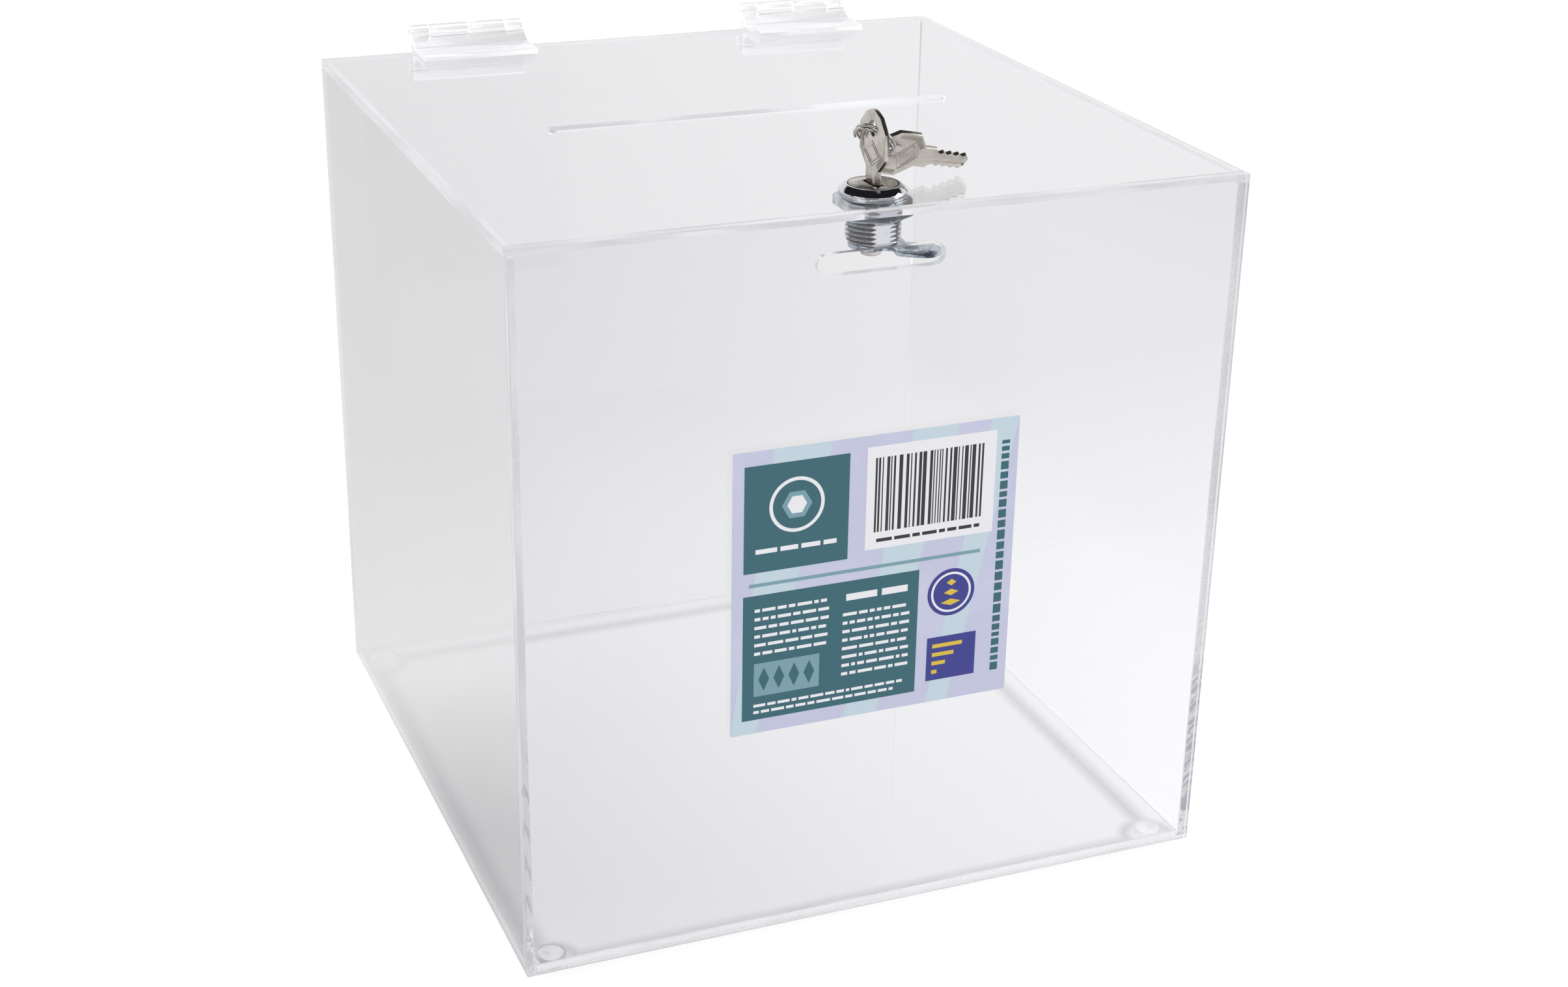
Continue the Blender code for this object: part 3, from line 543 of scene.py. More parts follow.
def metal(name, tone, second, roughness, stretch=(1, 1, 1), lines=0.3, patch=0.12, threaded=False):
    """Metal in two tones; lines is how strongly it is brushed, and patch how rough it gets."""
    look = Finish(name)
    marks = look.marks(160.0)["Marks"]
    shown = look.mixed(look.span(marks, 0.0, 0.6), (*tone, 1), (*second, 1))
    if threaded:
        # painted shade in the grooves of the thread
        shown = look.mixed(thread_shade(look), PAINTED_GROOVE_SHADE, shown)
    rough = look.plus(look.times(marks, patch), roughness)
    look.set(Base_Color=shown, Metallic=1.0, Roughness=rough)
    look.relief(look.lines(2500.0, stretch), lines, 0.02 * MM)
    return look.material


SHINY = {"lines": 0.05, "patch": 0.05, "threaded": True}
CHROME = metal("bright_chrome", (0.66, 0.67, 0.70), (0.60, 0.62, 0.66), 0.05, **SHINY)
PLUG_NICKEL = metal("plug_nickel", (0.50, 0.48, 0.45), (0.32, 0.31, 0.28), 0.14)
KEY_NICKEL = metal("key_nickel", (0.67, 0.63, 0.57), (0.58, 0.54, 0.48), 0.20, (1, 1, 0.1))
ZINC = metal("bluish_zinc", (0.46, 0.52, 0.58), (0.07, 0.09, 0.12), 0.10, patch=0.2)
STEEL = metal("plain_steel", (0.56, 0.54, 0.52), (0.48, 0.46, 0.43), 0.14)
BRASS = metal("tumbler_brass", (0.76, 0.60, 0.32), (0.66, 0.50, 0.26), 0.24)
print("metals:", [m.name for m in (CHROME, PLUG_NICKEL, KEY_NICKEL, ZINC, STEEL, BRASS)])

# %% [markdown]
# ## Bringing pieces into the frame
# A piece is a plain mesh that already lies where it belongs. It rides on a body of the packed
# model, so it moves when a joint moves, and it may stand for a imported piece.

# %% Helpers for pieces
def smooth_by_angle(mesh, angle=32):
    for face in mesh.polygons:
        face.use_smooth = True
    mesh.set_sharp_from_angle(angle=math.radians(angle))


def as_piece(name, mesh, body, material, slot, *replaced):
    """Makes an object of a mesh, gives it its finish, and hangs it on a body."""
    mesh.name = name
    if material is not None:
        mesh.materials.clear()
        mesh.materials.append(material)
    item = in_scene(name, mesh)
    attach(item, body)
    if replaced:
        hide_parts(*replaced)
    return item


# %% Helpers for meshes
WELD = 0.002 * MM


def with_modifier(mesh, kind, values=None, **settings):
    """Runs a modifier on a mesh and returns the plain result. Values are a tree's inputs."""
    carrier = in_scene("carrier", mesh)
    modifier = carrier.modifiers.new("work", kind)
    for name, value in settings.items():
        setattr(modifier, name, value)
    for name, value in (values or {}).items():
        modifier[name] = value
    graph = bpy.context.evaluated_depsgraph_get()
    result = bpy.data.meshes.new_from_object(carrier.evaluated_get(graph))
    bpy.data.objects.remove(carrier)
    return result


def eased(node, width, angle=32):
    """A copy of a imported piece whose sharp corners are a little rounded, as real ones are."""
    work = bmesh.new()
    work.from_mesh(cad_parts[node].data)
    bmesh.ops.remove_doubles(work, verts=work.verts, dist=WELD)
    flat = math.radians(0.5)
    bmesh.ops.dissolve_limit(work, angle_limit=flat, verts=work.verts, edges=work.edges)
    plain = from_bmesh(work, node + "_eased")
    corners = {"limit_method": "ANGLE", "angle_limit": math.radians(angle)}
    mesh = with_modifier(plain, "BEVEL", width=width, segments=2, **corners)
    smooth_by_angle(mesh)
    return mesh


def join_rings(work, rings, name):
    """Faces from each ring of points to the next. A ring of one point closes the shape."""
    for low, high in zip(rings, rings[1:]):
        steps = max(len(low), len(high))
        for i in range(steps):
            j = (i + 1) % steps
            corners = (low[i % len(low)], low[j % len(low)])
            corners += (high[j % len(high)], high[i % len(high)])
            work.faces.new(list(dict.fromkeys(corners)))
    bmesh.ops.recalc_face_normals(work, faces=work.faces)
    return from_bmesh(work, name)


# %% [markdown]
# ## Bumper feet
# Each foot is a small self-adhesive dome of clear rubber. Its side view is a flat sole, a round
# shoulder and a short straight rim, and turning that view around the middle makes the foot.

# %% Make the four feet
FOOT_STEPS = 56
SHOULDER_STEPS = 12
RIM_CORNER = 0.15 * MM


def foot_profile(radius, tall):
    """The side view as points of radius and height, from the top's middle to the sole's."""
    rim = tall / 4
    sole = radius * 0.56
    profile = [(0, 0), (radius - RIM_CORNER, 0), (radius, -RIM_CORNER)]
    for i in range(SHOULDER_STEPS + 1):
        angle = math.radians(90 * i / SHOULDER_STEPS)
        across = sole + (radius - sole) * math.cos(angle)
        profile.append((across, -rim - (tall - rim) * math.sin(angle)))
    return profile + [(0, -tall)]


def make_foot(node):
    low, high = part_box(node)
    middle = (low + high) / 2
    work = bmesh.new()
    rings = []
    for radius, height in foot_profile((high.x - low.x) / 2, high.z - low.z):
        around = circle(FOOT_STEPS) if radius else [(0, 0)]
        rings.append([work.verts.new((radius * x, radius * y, height)) for x, y in around])
    mesh = join_rings(work, rings, node + "_dome")
    mesh.transform(Matrix.Translation((middle.x, middle.y, high.z)))
    smooth_by_angle(mesh, 40)
    as_piece(node + "_dome", mesh, "box", FOOT_FINISH, "clear_rubber", node)


for node in ("foot_front_left", "foot_front_right", "foot_back_left", "foot_back_right"):
    make_foot(node)
print("feet: 4")

# %% [markdown]
# ## Hinges
# Each hinge has two moulded leaves and a clear pin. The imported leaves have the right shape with
# knife-sharp corners. A mould can't make those, and it is the small round corners that catch
# the light on a clear piece, so the leaves are copied with their corners eased.

# %% Ease the hinge leaves
for side in ("left", "right"):
    for part, body in (("hinge_lid_leaf_", "lid"), ("hinge_box_leaf_", "box")):
        node = part + side
        mesh = eased(node, 0.22 * MM, 35)
        as_piece(node + "_moulded", mesh, body, HINGE_FINISH, "clear_moulding", node)
    dress("hinge_pin_" + side, HINGE_FINISH)
print("hinge leaves: 4")

# %% [markdown]
# ## The lock's housing
# The housing is one turned piece: a bezel with a sloping face on top of the lid, and a threaded
# body below it with two milled flats. The thread could be a texture, but its teeth show against
# the light, so it is real. Each level of the body is a ring of points, and a point's distance
# from the axis depends on its height and its angle together, which winds the tooth around. On
# the flats every point is pulled back to the flat, as the milling cutter does.

# %% Wind the thread
BEZEL_SEAT = 247.3 * MM
BEZEL_TOP = 249.7 * MM
BODY_END = 231.6 * MM
BODY_RADIUS = 9.0 * MM
HALF_FLATS = 7.9 * MM
THREAD_PITCH = 1.5 * MM
THREAD_DEPTH = 0.75 * MM
LEAD_IN = 0.9 * MM
HOUSING_STEPS = 168
ROWS_PER_TURN = 12


def thread_radius(angle, height):
    """Distance from the axis to the body's surface, with its thread and its milled flats."""
    turn = (height / THREAD_PITCH - angle / (2 * math.pi)) % 1.0
    tooth = abs(2 * turn - 1)
    tooth = min(max((tooth - 0.10) / 0.80, 0), 1)
    lead = min(1.0, (height - BODY_END) / LEAD_IN)
    away = BODY_RADIUS - THREAD_DEPTH * max(1 - lead, 1 - tooth)
    if abs(math.sin(angle)) * away > HALF_FLATS:
        away = HALF_FLATS / abs(math.sin(angle))
    return away


def housing_rows():
    """Rows of (radius, height), from the bore's lower end, outside, up and in. A row without
    a radius is threaded."""
    bore, recess, recess_floor = 6.6 * MM, 8.15 * MM, 246.8 * MM
    rim, top = 11.1 * MM, 8.8 * MM
    count = int((BEZEL_SEAT - 1.0 * MM - BODY_END) / THREAD_PITCH * ROWS_PER_TURN)
    thread = [(None, BODY_END + i * THREAD_PITCH / ROWS_PER_TURN) for i in range(count)]
    return [
        (bore, BODY_END), (bore + LEAD_IN, BODY_END), *thread, (None, BEZEL_SEAT),
        (rim - 0.1 * MM, BEZEL_SEAT), (rim, BEZEL_SEAT + 0.1 * MM),
        (rim, BEZEL_SEAT + 0.6 * MM), (rim - 0.08 * MM, BEZEL_SEAT + 0.75 * MM),
        (top + 0.12 * MM, BEZEL_TOP - 0.06 * MM), (top - 0.08 * MM, BEZEL_TOP),
        (recess + 0.1 * MM, BEZEL_TOP), (recess, BEZEL_TOP - 0.1 * MM),
        (recess, recess_floor), (bore, recess_floor),
    ]


# %% Make the threaded housing
work = bmesh.new()
rings = []
for radius, height in housing_rows():
    ring = []
    for i in range(HOUSING_STEPS):
        angle = 2 * math.pi * i / HOUSING_STEPS
        away = thread_radius(angle, height) if radius is None else radius
        ring.append(work.verts.new((away * math.cos(angle), away * math.sin(angle), height)))
    rings.append(ring)
name = "lock_housing_threaded"
mesh = join_rings(work, rings + rings[:1], name)
mesh.transform(Matrix.Translation(LOCK_MIDDLE))
smooth_by_angle(mesh, 28)
as_piece(name, mesh, "lid", CHROME, "chrome_bezel", "lock_housing")
print("housing faces:", len(mesh.polygons))

# %% [markdown]
# ## Nut, plug, cam and fastening
# These pieces are stamped, turned or cast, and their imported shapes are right. Their corners are
# eased so that each one shows the thin bright line that real metal has along an edge.

# %% Ease the lock's other pieces
for node, body, ease, coat, slot in (
    ("lock_nut", "lid", 0.12, ZINC, "zinc_plate"),
    ("lock_plug", "plug", 0.08, PLUG_NICKEL, "nickel_plug"),
    ("lock_cam", "plug", 0.16, ZINC, "zinc_plate"),
    ("cam_washer", "plug", 0.08, STEEL, "plain_steel"),
    ("cam_screw", "plug", 0.10, STEEL, "plain_steel"),
):
    mesh = eased(node, ease * MM)
    as_piece(node + "_eased", mesh, body, coat, slot, node)
    print(node, len(mesh.polygons))
for i in range(1, 5):
    dress("lock_wafer_" + str(i), BRASS)

# %% [markdown]
# ## A runner for Geometry Nodes
# Geometry Nodes make what repeats or follows a path. Each tree here has named inputs, and one
# function puts values in them, runs the tree on an empty mesh and keeps the plain result.

# %% Build and run geometry trees
def shape_group(name, **inputs):
    inputs = spaced({**inputs, "Finish": "Material"})
    return Group(name, "GeometryNodeTree", inputs, {"Shape": "Geometry"})


def hand_out(group, shape):
    """Ends a geometry tree: its shape becomes one plain mesh with a finish."""
    plain = group.add("GeometryNodeRealizeInstances", Geometry=shape)[0]
    coat = group.given["Finish"]
    dressed = group.add("GeometryNodeSetMaterial", Geometry=plain, Material=coat)[0]
    return group.gives(Shape=dressed)


def grown(tree, **values):
    """Runs a tree with its values and returns the mesh that it makes."""
    named = {s.name: s.identifier for s in tree.interface.items_tree if s.in_out == "INPUT"}
    values = {named[name]: value for name, value in spaced(values).items()}
    return with_modifier(bpy.data.meshes.new("seed"), "NODES", values, node_group=tree)


# %% [markdown]
# ## The key ring
# The ring is two close turns of hard steel wire. A spiral with a small rise gives the wire's
# path, and a round profile swept along it gives the wire, which is a hair thinner than the
# packed one, to clear the spare key's pressed lines.

# %% A tree that winds wire
group = shape_group("wound_wire", Radius="Float", Wire="Float", Rise="Float", Turns="Float")
radius, wire, rise, turns = (group.given[i] for i in range(4))
ends = {"Start_Radius": radius, "End_Radius": radius, "Height": rise, "Rotations": turns}
path = group.add("GeometryNodeCurveSpiral", Resolution=72, Reverse=True, **ends)[0]
half = group.times(wire, 0.5)
wire = group.add("GeometryNodeCurvePrimitiveCircle", Resolution=14, Radius=half)[0]
ends = {"Curve": path, "Profile_Curve": wire, "Fill_Caps": True}
swept = group.add("GeometryNodeCurveToMesh", **ends)[0]
COIL = hand_out(group, group.add("GeometryNodeSetShadeSmooth", Geometry=swept)[0])
print("tree:", COIL.name)

# %% Wind the key ring
RING_MIDDLE = Vector((2.3115, -99.4574, 262.4631)) * MM
RING_NORMAL = Vector((0.6547218, 0.3598471, 0.6647176)).normalized()
RING_RADIUS = 6.7 * MM
RING_WIRE = 0.94 * MM
RING_PITCH = 1.3 * MM
RING_WELD = 0.001 * MM
KEY_HOLE = Vector((0, -104, 267.2)) * MM
SPARE_HOLE = Vector((7.0283, -97.6886, 257.5185)) * MM


def square_to(direction, normal):
    return (direction - normal * direction.dot(normal)).normalized()


sizes = {"Radius": RING_RADIUS, "Wire": RING_WIRE, "Rise": 2 * RING_PITCH}
mesh = grown(COIL, Turns=2.0, Finish=STEEL, **sizes)
to_key = square_to(KEY_HOLE - RING_MIDDLE, RING_NORMAL)
to_spare = square_to(SPARE_HOLE - RING_MIDDLE, RING_NORMAL)
away = -(to_key + to_spare).normalized()
turn = Matrix((away, RING_NORMAL.cross(away), RING_NORMAL)).transposed().to_4x4()
down = Matrix.Translation((0, 0, -RING_PITCH))
mesh.transform(Matrix.Translation(RING_MIDDLE) @ turn @ down)
work = bmesh.new()
work.from_mesh(mesh)
bmesh.ops.remove_doubles(work, verts=work.verts, dist=RING_WELD)
bmesh.ops.recalc_face_normals(work, faces=work.faces)
work.to_mesh(mesh)
work.free()
smooth_by_angle(mesh, 50)
as_piece("key_ring_wire", mesh, "ring", None, "plain_steel", "key_ring")
print("ring faces:", len(mesh.polygons))

# %% [markdown]
# ## The keys
# Both keys are the same blank: a broad bow with a hole, a neck, and a blade with cuts. The bow
# carries a pressed lozenge with fine ribs, for grip. The pressed lines are thin raised bars,
# built flat around the key's hole and then carried to both keys. The ribs repeat, so a small
# tree makes their row.

# %% The sizes of what is pressed into a key
KEY_HALF_THICKNESS = 0.7 * MM
LOZENGE_DROP = -7.9 * MM
LOZENGE_HALF_WIDTH = 6.6 * MM
LOZENGE_HALF_HEIGHT = 4.0 * MM
PRESSED_LINE = 0.60 * MM
PRESSED_HEIGHT = 0.14 * MM
SUNK = 0.1 * MM
RIB_COUNT = 11
HALF_RIB_ROW = 2.9 * MM
RIB_SIZE = (0.24 * MM, PRESSED_HEIGHT * 2, 1.7 * MM)
RIB_ROWS = ((6.06, -9.51, 42), (-7.9, -4.2, 90), (7.9, -4.2, 90))


# %% A tree that makes a row of ribs
group = shape_group("rib_row", Count="Int", Half_Row="Float", Rib="Vector")
count, half_row, rib = (group.given[i] for i in range(3))
start = group.add("ShaderNodeCombineXYZ", X=group.times(half_row, -1.0))[0]
end = group.add("ShaderNodeCombineXYZ", X=half_row)[0]
ends = {"Count": count, "Start_Location": start, "Offset": end}
row = group.add("GeometryNodeMeshLine", mode="END_POINTS", **ends)[0]
bar = group.add("GeometryNodeMeshCube", Size=rib)[0]
placed = group.add("GeometryNodeInstanceOnPoints", Points=row, Instance=bar)[0]
RIB_ROW = hand_out(group, placed)
print("tree:", RIB_ROW.name)

# %% Press the lozenge and ribs
def add_bar(work, start, end, low, high):
    """Adds a thin bar between two points of the key's face; low and high are its two levels."""
    start, end = Vector(start), Vector(end)
    along = (end - start).normalized()
    side = Vector((-along.y, along.x)) * PRESSED_LINE / 2
    inner = [start - side, end - side, end + side, start + side]
    outer = [start - side / 3, end - side / 3, end + side / 3, start + side / 3]
    inner = [work.verts.new((c.x, low, c.y)) for c in inner]
    outer = [work.verts.new((c.x, high, c.y)) for c in outer]
    work.faces.new(inner)
    work.faces.new(outer[::-1])
    for i in range(4):
        j = (i + 1) % 4
        work.faces.new((inner[i], outer[i], outer[j], inner[j]))


def pressed_marks():
    """The lozenge's outline and its ribs on both faces of a key that stands on the X-Z plane."""
    work = bmesh.new()
    sizes = {"Count": RIB_COUNT, "Half_Row": HALF_RIB_ROW, "Rib": RIB_SIZE}
    ribs = grown(RIB_ROW, Finish=KEY_NICKEL, **sizes)
    for side in (-1, 1):
        face = side * KEY_HALF_THICKNESS
        for across, down, lean in RIB_ROWS:
            copy = ribs.copy()
            copy.transform(Matrix.Rotation(math.radians(-lean), 4, "Y"))
            copy.transform(Matrix.Translation((across * MM, face, down * MM)))
            work.from_mesh(copy)
        for scale in (1.0, 0.72):
            wide = LOZENGE_HALF_WIDTH * scale
            tall = LOZENGE_HALF_HEIGHT * scale
            corners = [(wide, 0), (0, tall), (-wide, 0), (0, -tall)]
            corners = [(x, y + LOZENGE_DROP) for x, y in corners]
            for a, b in zip(corners, corners[1:] + corners[:1]):
                add_bar(work, a, b, face - side * SUNK, face + side * PRESSED_HEIGHT)
    bmesh.ops.recalc_face_normals(work, faces=work.faces)
    return from_bmesh(work, "pressed_marks")


# %% Make both keys
SPARE_POINT = Vector((0.967, 0.129, -0.218)).normalized()
SPARE_WIDTH = square_to(Vector((0.252, -0.554, 0.793)), SPARE_POINT)

marks = pressed_marks()
upright = Matrix.Translation(KEY_HOLE) @ Matrix.Rotation(math.radians(-90), 4, "Z")
columns = (SPARE_WIDTH, SPARE_WIDTH.cross(SPARE_POINT), -SPARE_POINT)
leaning = Matrix.Translation(SPARE_HOLE) @ Matrix(columns).transposed().to_4x4()
for node, body, place in (("key_in_lock", "key", upright), ("key_spare", "spare", leaning)):
    work = bmesh.new()
    work.from_mesh(eased(node, 0.12 * MM))
    raised = marks.copy()
    raised.transform(place)
    work.from_mesh(raised)
    mesh = from_bmesh(work, node + "_pressed")
    smooth_by_angle(mesh)
    as_piece(node + "_pressed", mesh, body, KEY_NICKEL, "nickel_key", node)
    print(node, "faces:", len(mesh.polygons))

# %% [markdown]
# ## Glued seams
# The walls are joined with a thin cement that flows into the joint. Looked at from the front,
# each side wall's end shows as a band. Its lower part is mottled, where the cement ran in slanted
# lines, and its upper part is an even grey. Small bubbles dot it. The band is a film thinner than
# the joint. The bubbles repeat, so a tree scatters small flattened drops along the joint, with a
# seed that never changes.

# %% Finish of the upright cement
def stripes(look, value, pitch, share):
    """One on a share of each pitch along a value, with slightly soft ends."""
    saw = look.maths("FRACT", look.maths("DIVIDE", value, pitch))
    return look.span(look.away_from(saw, 0.5), share / 2 + 0.02, share / 2 - 0.02)


def cement_paleness(look, noise, wander, parts, right, chaos):
    """How pale the cement is, from 0 to 1: its runs, its lines and its mottling."""
    steep = look.span(parts["X"], 0.0, 1.0 * MM, 3.0, 1.0)
    steep = look.times(look.maths("ABSOLUTE", parts["X"]), steep)
    slope = look.maths("SUBTRACT", parts["Z"], steep)
    slope = look.plus(slope, look.times(wander, 6 * MM))
    lines = stripes(look, slope, 3.3 * MM, 0.36)
    lines = look.most(lines, stripes(look, slope, 7.7 * MM, 0.30))
    lines = look.times(lines, look.span(wander, 0.40, 0.60, 1.0, 0.55))
    lines = look.times(lines, look.span(parts["Z"], 10 * MM, 20 * MM))
    fine = look.times(stripes(look, slope, 0.9 * MM, 0.5), 0.35)
    mottle = look.times(look.span(wander, 0.48, 0.53), chaos)
    pale = look.most(mottle, look.mixed(right, fine, lines))
    calm = look.times(right, look.span(parts["Z"], 60 * MM, 88 * MM, 0.0, 0.90))
    pale = look.mixed(calm, pale, grey(0.45))
    pale = look.most(pale, look.span(noise, 0.36, 0.60, 0.0, 0.30))
    return pale, stripes(look, slope, 14 * MM, 0.30)


look = Finish("seam_cement_upright")
parts = look.parts(look.place)
noise = look.noise(look.place, 900.0, 4.0, Roughness=0.7, Distortion=1.0)
wander = look.noise(look.place, 220.0, 3.0, Roughness=0.6)
right = look.above(parts["X"], 0.0)
chaos = look.span(parts["Z"], 10 * MM, 32 * MM, 1.0, 0.0)
pale, runs = cement_paleness(look, noise, wander, parts, right, chaos)
thick = look.span(noise, 0.34, 0.60, 1.0, 0.65)
left_cover = look.times(runs, look.span(parts["Z"], 66 * MM, 90 * MM, 0.55, 0.06))
left_cover = look.most(left_cover, look.times(chaos, 0.35))
left_cover = look.times(left_cover, thick)
right_cover = look.span(parts["Z"], 50 * MM, 72 * MM, 0.92, 0.38)
right_cover = look.times(right_cover, thick)
look.set(
    Base_Color=look.mixed(pale, (0.40, 0.40, 0.46, 1), (0.97, 0.97, 0.98, 1)),
    Roughness=0.3, IOR=1.45,
    Alpha=look.most(look.mixed(right, left_cover, right_cover), 0.14),
)
WALL_CEMENT = look.material

# %% Finish of the level cement
look = Finish("seam_cement_level")
marks = look.marks(40.0)
look.set(
    Base_Color=look.mixed(marks["Marks"], (0.97, 0.97, 0.98, 1), (0.90, 0.90, 0.92, 1)),
    Roughness=0.35, IOR=1.45,
    Alpha=look.span(marks["Grain"], 0.3, 0.7, 0.54, 0.62),
    # a faint painted glow keeps the floor's seams bright
    Emission_Color=WHITE, Emission_Strength=0.12,
)
FLOOR_CEMENT = look.material
print("cements:", WALL_CEMENT.name, FLOOR_CEMENT.name)

# %% The tree that scatters bubbles
inputs = {"Low": "Vector", "High": "Vector", "Count": "Int", "Size": "Float"}
group = shape_group("seam_bubbles", **inputs, Flatness="Vector", Seed="Int")
low, high, count, size, flatness, seed = (group.given[i] for i in range(6))
row = group.add("GeometryNodeMeshLine", Count=count)[0]
dice = {"data_type": "FLOAT_VECTOR", "Seed": seed}
spot = group.add("FunctionNodeRandomValue", {0: low, 1: high}, **dice)[0]
moved = group.add("GeometryNodeSetPosition", Geometry=row, Position=spot)[0]
drop = group.add("GeometryNodeMeshIcoSphere", Radius=size, Subdivisions=2)[0]
dice = {"data_type": "FLOAT", "Seed": seed}
share = group.add("FunctionNodeRandomValue", {2: 0.25, 3: 1.0}, **dice)[1]
flat = group.add("ShaderNodeVectorMath", {0: flatness}, operation="SCALE", Scale=share)[0]
ends = {"Points": moved, "Instance": drop, "Scale": flat}
BUBBLES = hand_out(group, group.add("GeometryNodeInstanceOnPoints", **ends)[0])
print("tree:", BUBBLES.name)

# %% Make one seam
BUBBLE_SIZE = 0.30 * MM
BUBBLE_FLATNESS = 0.12
BUBBLE_MARGIN = 0.45 * MM


def box_mesh(low, high, name):
    work = bmesh.new()
    bmesh.ops.create_cube(work, size=1.0)
    bmesh.ops.scale(work, vec=high - low, verts=work.verts)
    bmesh.ops.translate(work, vec=(high + low) / 2, verts=work.verts)
    return from_bmesh(work, name)


def make_seam(name, low, high, cement, bubbles, seed, dots=None):
    """A film of cement in a joint, with bubbles in it. The thinnest direction is the joint's
    gap. Dots are the two sides between which bubbles lie that keep to one side of the film."""
    low, high = Vector(low) * MM, Vector(high) * MM
    as_piece(name, box_mesh(low, high, name), "box", cement, "clear_sheet")
    size = high - low
    thin = min(range(3), key=lambda i: size[i])
    margin = Vector((BUBBLE_MARGIN,) * 3)
    margin[thin] = size[thin] / 2
    low, high = low + margin, high - margin
    if dots:
        low.x, high.x = dots[0] * MM, dots[1] * MM
    flatness = [1.0, 1.0, 1.0]
    flatness[thin] = BUBBLE_FLATNESS
    drops = {"Count": bubbles, "Size": BUBBLE_SIZE, "Flatness": flatness, "Seed": seed}
    mesh = grown(BUBBLES, Low=tuple(low), High=tuple(high), Finish=FOOT_FINISH, **drops)
    smooth_by_angle(mesh, 60)
    as_piece(name + "_bubbles", mesh, "box", None, "clear_sheet")


# %% Lay the seams
NEAR = (-121.95, -121.75)
FAR = (121.75, 121.95)
UPRIGHT = (-2, 243)
LEVEL = (-2.6, -0.4)
WALL_BAND = (122.3, 124.6)
DOTS_BAND = (122.4, 122.8)
FLOOR_END = 121

for side, sign in (("left", -1), ("right", 1)):
    band = sorted(sign * x for x in WALL_BAND)
    dots = sorted(sign * x for x in DOTS_BAND)
    for end, gap, bubbles, seed in (("front", NEAR, 210, 3), ("back", FAR, 60, 5)):
        low, high = zip(band, gap, UPRIGHT)
        make_seam("seam_" + end + "_" + side, low, high, WALL_CEMENT, bubbles, seed, dots)
along = (-FLOOR_END, FLOOR_END)
for side, gap in (("front", NEAR), ("back", FAR)):
    make_seam("seam_floor_" + side, *zip(along, gap, LEVEL), FLOOR_CEMENT, 9, 7)
for side, gap in (("left", NEAR), ("right", FAR)):
    make_seam("seam_floor_" + side, *zip(gap, along, LEVEL), FLOOR_CEMENT, 9, 9)
print("seams: 8")

# %% [markdown]
# ## The label
# A square paper sticker sits on the front. Its print is a generic design of blocks and bars
# with no words in it: pale bands on lilac, a block of teal with rows of short bars, a white
# panel with upright lines, a round badge and a small blue panel. Real ink is a layer on the
# paper, so each shape is a very thin slab, and shapes that lie on others are a hair higher.
# Their colours are stored on the faces, and one material reads them.

# %% Collect the shapes of the print
LAYER = 0.022 * MM
INK_THICKNESS = 0.02 * MM
TEAL = screen_colour(43, 98, 110)
LIGHT_TEAL = screen_colour(120, 160, 172)
PAPER = screen_colour(238, 238, 242)
INK_BLACK = screen_colour(34, 33, 38)
BLUE = screen_colour(48, 52, 140)
GOLD = screen_colour(222, 190, 60)
PALE_BAND = screen_colour(198, 216, 226)


class Print:
    """Flat shapes on a sheet, each with a colour and a layer, in millimetres from its corner."""

    def __init__(self):
        self.work = bmesh.new()
        self.ink = self.work.faces.layers.float_color.new("ink")
        self.dice = random.Random(20)

    def shape(self, points, paint, layer):
        """A flat shape from its outline, counted from the label's lower left."""
        new, level = self.work.verts.new, -layer * LAYER
        back = [new((u * MM, level, v * MM)) for u, v in points]
        front = [new((u * MM, level - INK_THICKNESS, v * MM)) for u, v in points]
        faces = [self.work.faces.new(back[::-1]), self.work.faces.new(front)]
        for i in range(len(points)):
            j = (i + 1) % len(points)
            faces.append(self.work.faces.new((front[i], back[i], back[j], front[j])))
        for face in faces:
            face[self.ink] = paint

    def block(self, left, low, right, high, paint, layer):
        self.shape([(left, low), (right, low), (right, high), (left, high)], paint, layer)

    def disc(self, u, v, radius, paint, layer, steps=40):
        self.shape([(u + radius * x, v + radius * y) for x, y in circle(steps)], paint, layer)

    def lozenge(self, u, v, wide, tall, paint, layer):
        self.shape([(u + wide, v), (u, v + tall), (u - wide, v), (u, v - tall)], paint, layer)

    def bars(self, left, right, v, height, paint):
        """A row of short bars of uneven length, which reads as a line of small print."""
        u = left
        while u < right - height:
            long = min(self.dice.uniform(1.2, 5.0) * height, right - u)
            self.block(u, v, u + long, v + height, paint, 2)
            u += long + height * 0.7


# %% Draw the ground and the badge
art = Print()
for a, b, c, d in ((0, 9, 14, 34), (40, 52, 62, 78), (70, 78, 90, 100)):
    art.shape([(a, 0), (b, 0), (d, 100), (c, 100)], PALE_BAND, 0)
art.block(6, 53, 88, 54.2, LIGHT_TEAL, 1)
art.block(4, 5, 66, 50, TEAL, 1)
art.block(4, 58, 40, 95, TEAL, 1)
art.disc(22, 80, 9.5, PAPER, 2)
art.disc(22, 80, 8.3, TEAL, 3)
art.disc(22, 80, 5.2, LIGHT_TEAL, 4, 6)
art.disc(22, 80, 3.4, PAPER, 5, 6)
art.bars(8, 36, 64.5, 1.6, PAPER)
print("ink faces:", len(art.work.faces))

# %% Draw the upright lines
art.block(46, 60, 92, 96, PAPER, 1)
u = 49.0
while u < 87.5:
    wide = art.dice.choice((0.4, 0.4, 0.7, 1.0, 1.3))
    art.block(u, 66, u + wide, 92, INK_BLACK, 2)
    u += wide + art.dice.choice((0.4, 0.6, 0.9, 1.2))
art.bars(50, 88, 62.4, 1.2, INK_BLACK)
print("ink faces:", len(art.work.faces))

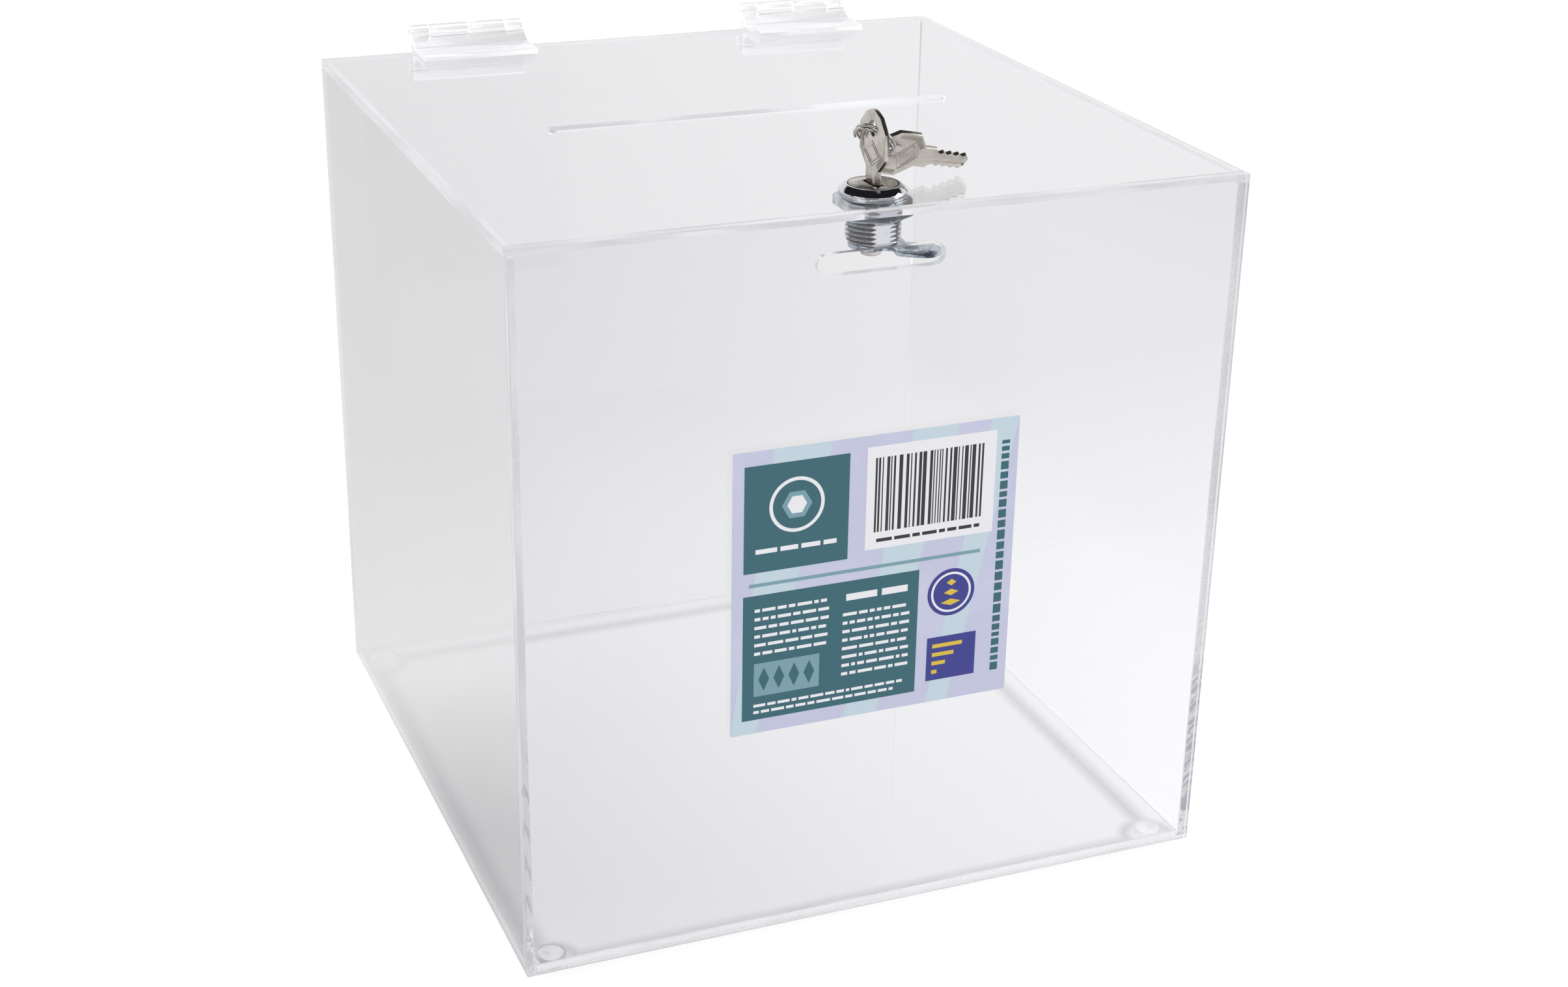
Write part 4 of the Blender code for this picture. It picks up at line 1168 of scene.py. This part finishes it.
# %% Draw the lower half and the margin
# rows of small print
for row in range(6):
    art.bars(8, 34, 44 - 3.1 * row, 1.1, PAPER)
art.bars(40, 62, 43.0, 2.4, PAPER)
for row in range(8):
    art.bars(39, 63, 37.5 - 3.1 * row, 1.1, PAPER)
art.bars(8, 62, 9.6, 1.0, PAPER)
art.bars(8, 58, 7.2, 1.0, PAPER)
art.block(8, 13.5, 31, 25.5, LIGHT_TEAL, 2)
for i in range(4):
    art.lozenge(11.5 + 5.3 * i, 19.5, 1.9, 4.2, TEAL, 3)
# blue marks
art.disc(78, 40, 8.6, BLUE, 1)
art.disc(78, 40, 7.3, PAPER, 2)
art.disc(78, 40, 6.5, BLUE, 3)
for i in range(3):
    art.lozenge(78, 36.4 + 3.6 * i, 3.6 - 0.9 * i, 1.2, GOLD, 4)
art.block(70, 8, 88, 24, BLUE, 1)
for i in range(4):
    art.block(72, 10.4 + 3.2 * i, 74 + 3 * i, 11.8 + 3.2 * i, GOLD, 2)
# bars in the margin
low, top = 8.0, 92
while low < top:
    tall = min(art.dice.uniform(1.4, 3.4), top - low)
    art.block(94.0, low, 96.8, low + tall, TEAL, 1)
    low += tall + 0.9
print("ink faces:", len(art.work.faces))

# %% Finishes of paper and ink
look = Finish("label_paper_lilac")
marks = look.marks(30.0)
cloud, grain = marks["Marks"], marks["Grain"]
lilac = look.mixed(cloud, screen_colour(200, 203, 226), screen_colour(207, 210, 231))
gum = look.mixed(grain, screen_colour(236, 236, 238), screen_colour(244, 244, 246))
# the gum is on the side that lies on the sheet
back = look.above(look.parts(look.normal)["Y"], 0.5)
look.set(
    Base_Color=look.mixed(back, lilac, gum),
    Roughness=look.span(grain, 0.3, 0.7, 0.32, 0.42),
    IOR=1.45, Specular_IOR_Level=0.25,
)
look.relief(grain, 0.3, 0.01 * MM)
PAPER_FINISH = look.material

look = Finish("label_print_inks")
printed = look.add("ShaderNodeAttribute", attribute_name="ink")["Color"]
grain = look.marks(60.0)["Grain"]
look.set(
    Base_Color=look.mixed(grain, printed, look.mixed(0.06, printed, WHITE)),
    Roughness=look.span(grain, 0.3, 0.7, 0.28, 0.36),
    IOR=1.48, Specular_IOR_Level=0.2,
)
INK_FINISH = look.material
print("label:", PAPER_FINISH.name, INK_FINISH.name)

# %% Lay the label on the front
PAPER_THICKNESS = 0.06 * MM
PAPER_CORNER = 0.02 * MM
INK_SINK = 0.003 * MM

low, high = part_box("label")
face = high.y - PAPER_THICKNESS
paper = box_mesh(low, high, "label_paper")
for vertex in paper.vertices:
    vertex.co.y = max(vertex.co.y, face)
paper = with_modifier(paper, "BEVEL", width=PAPER_CORNER, segments=1)
as_piece("label_paper", paper, "box", PAPER_FINISH, "printed_label", "label")
ink = from_bmesh(art.work, "label_print")
ink.transform(Matrix.Translation((low.x, face - INK_SINK, low.z)))
as_piece("label_print", ink, "box", INK_FINISH, "printed_label")
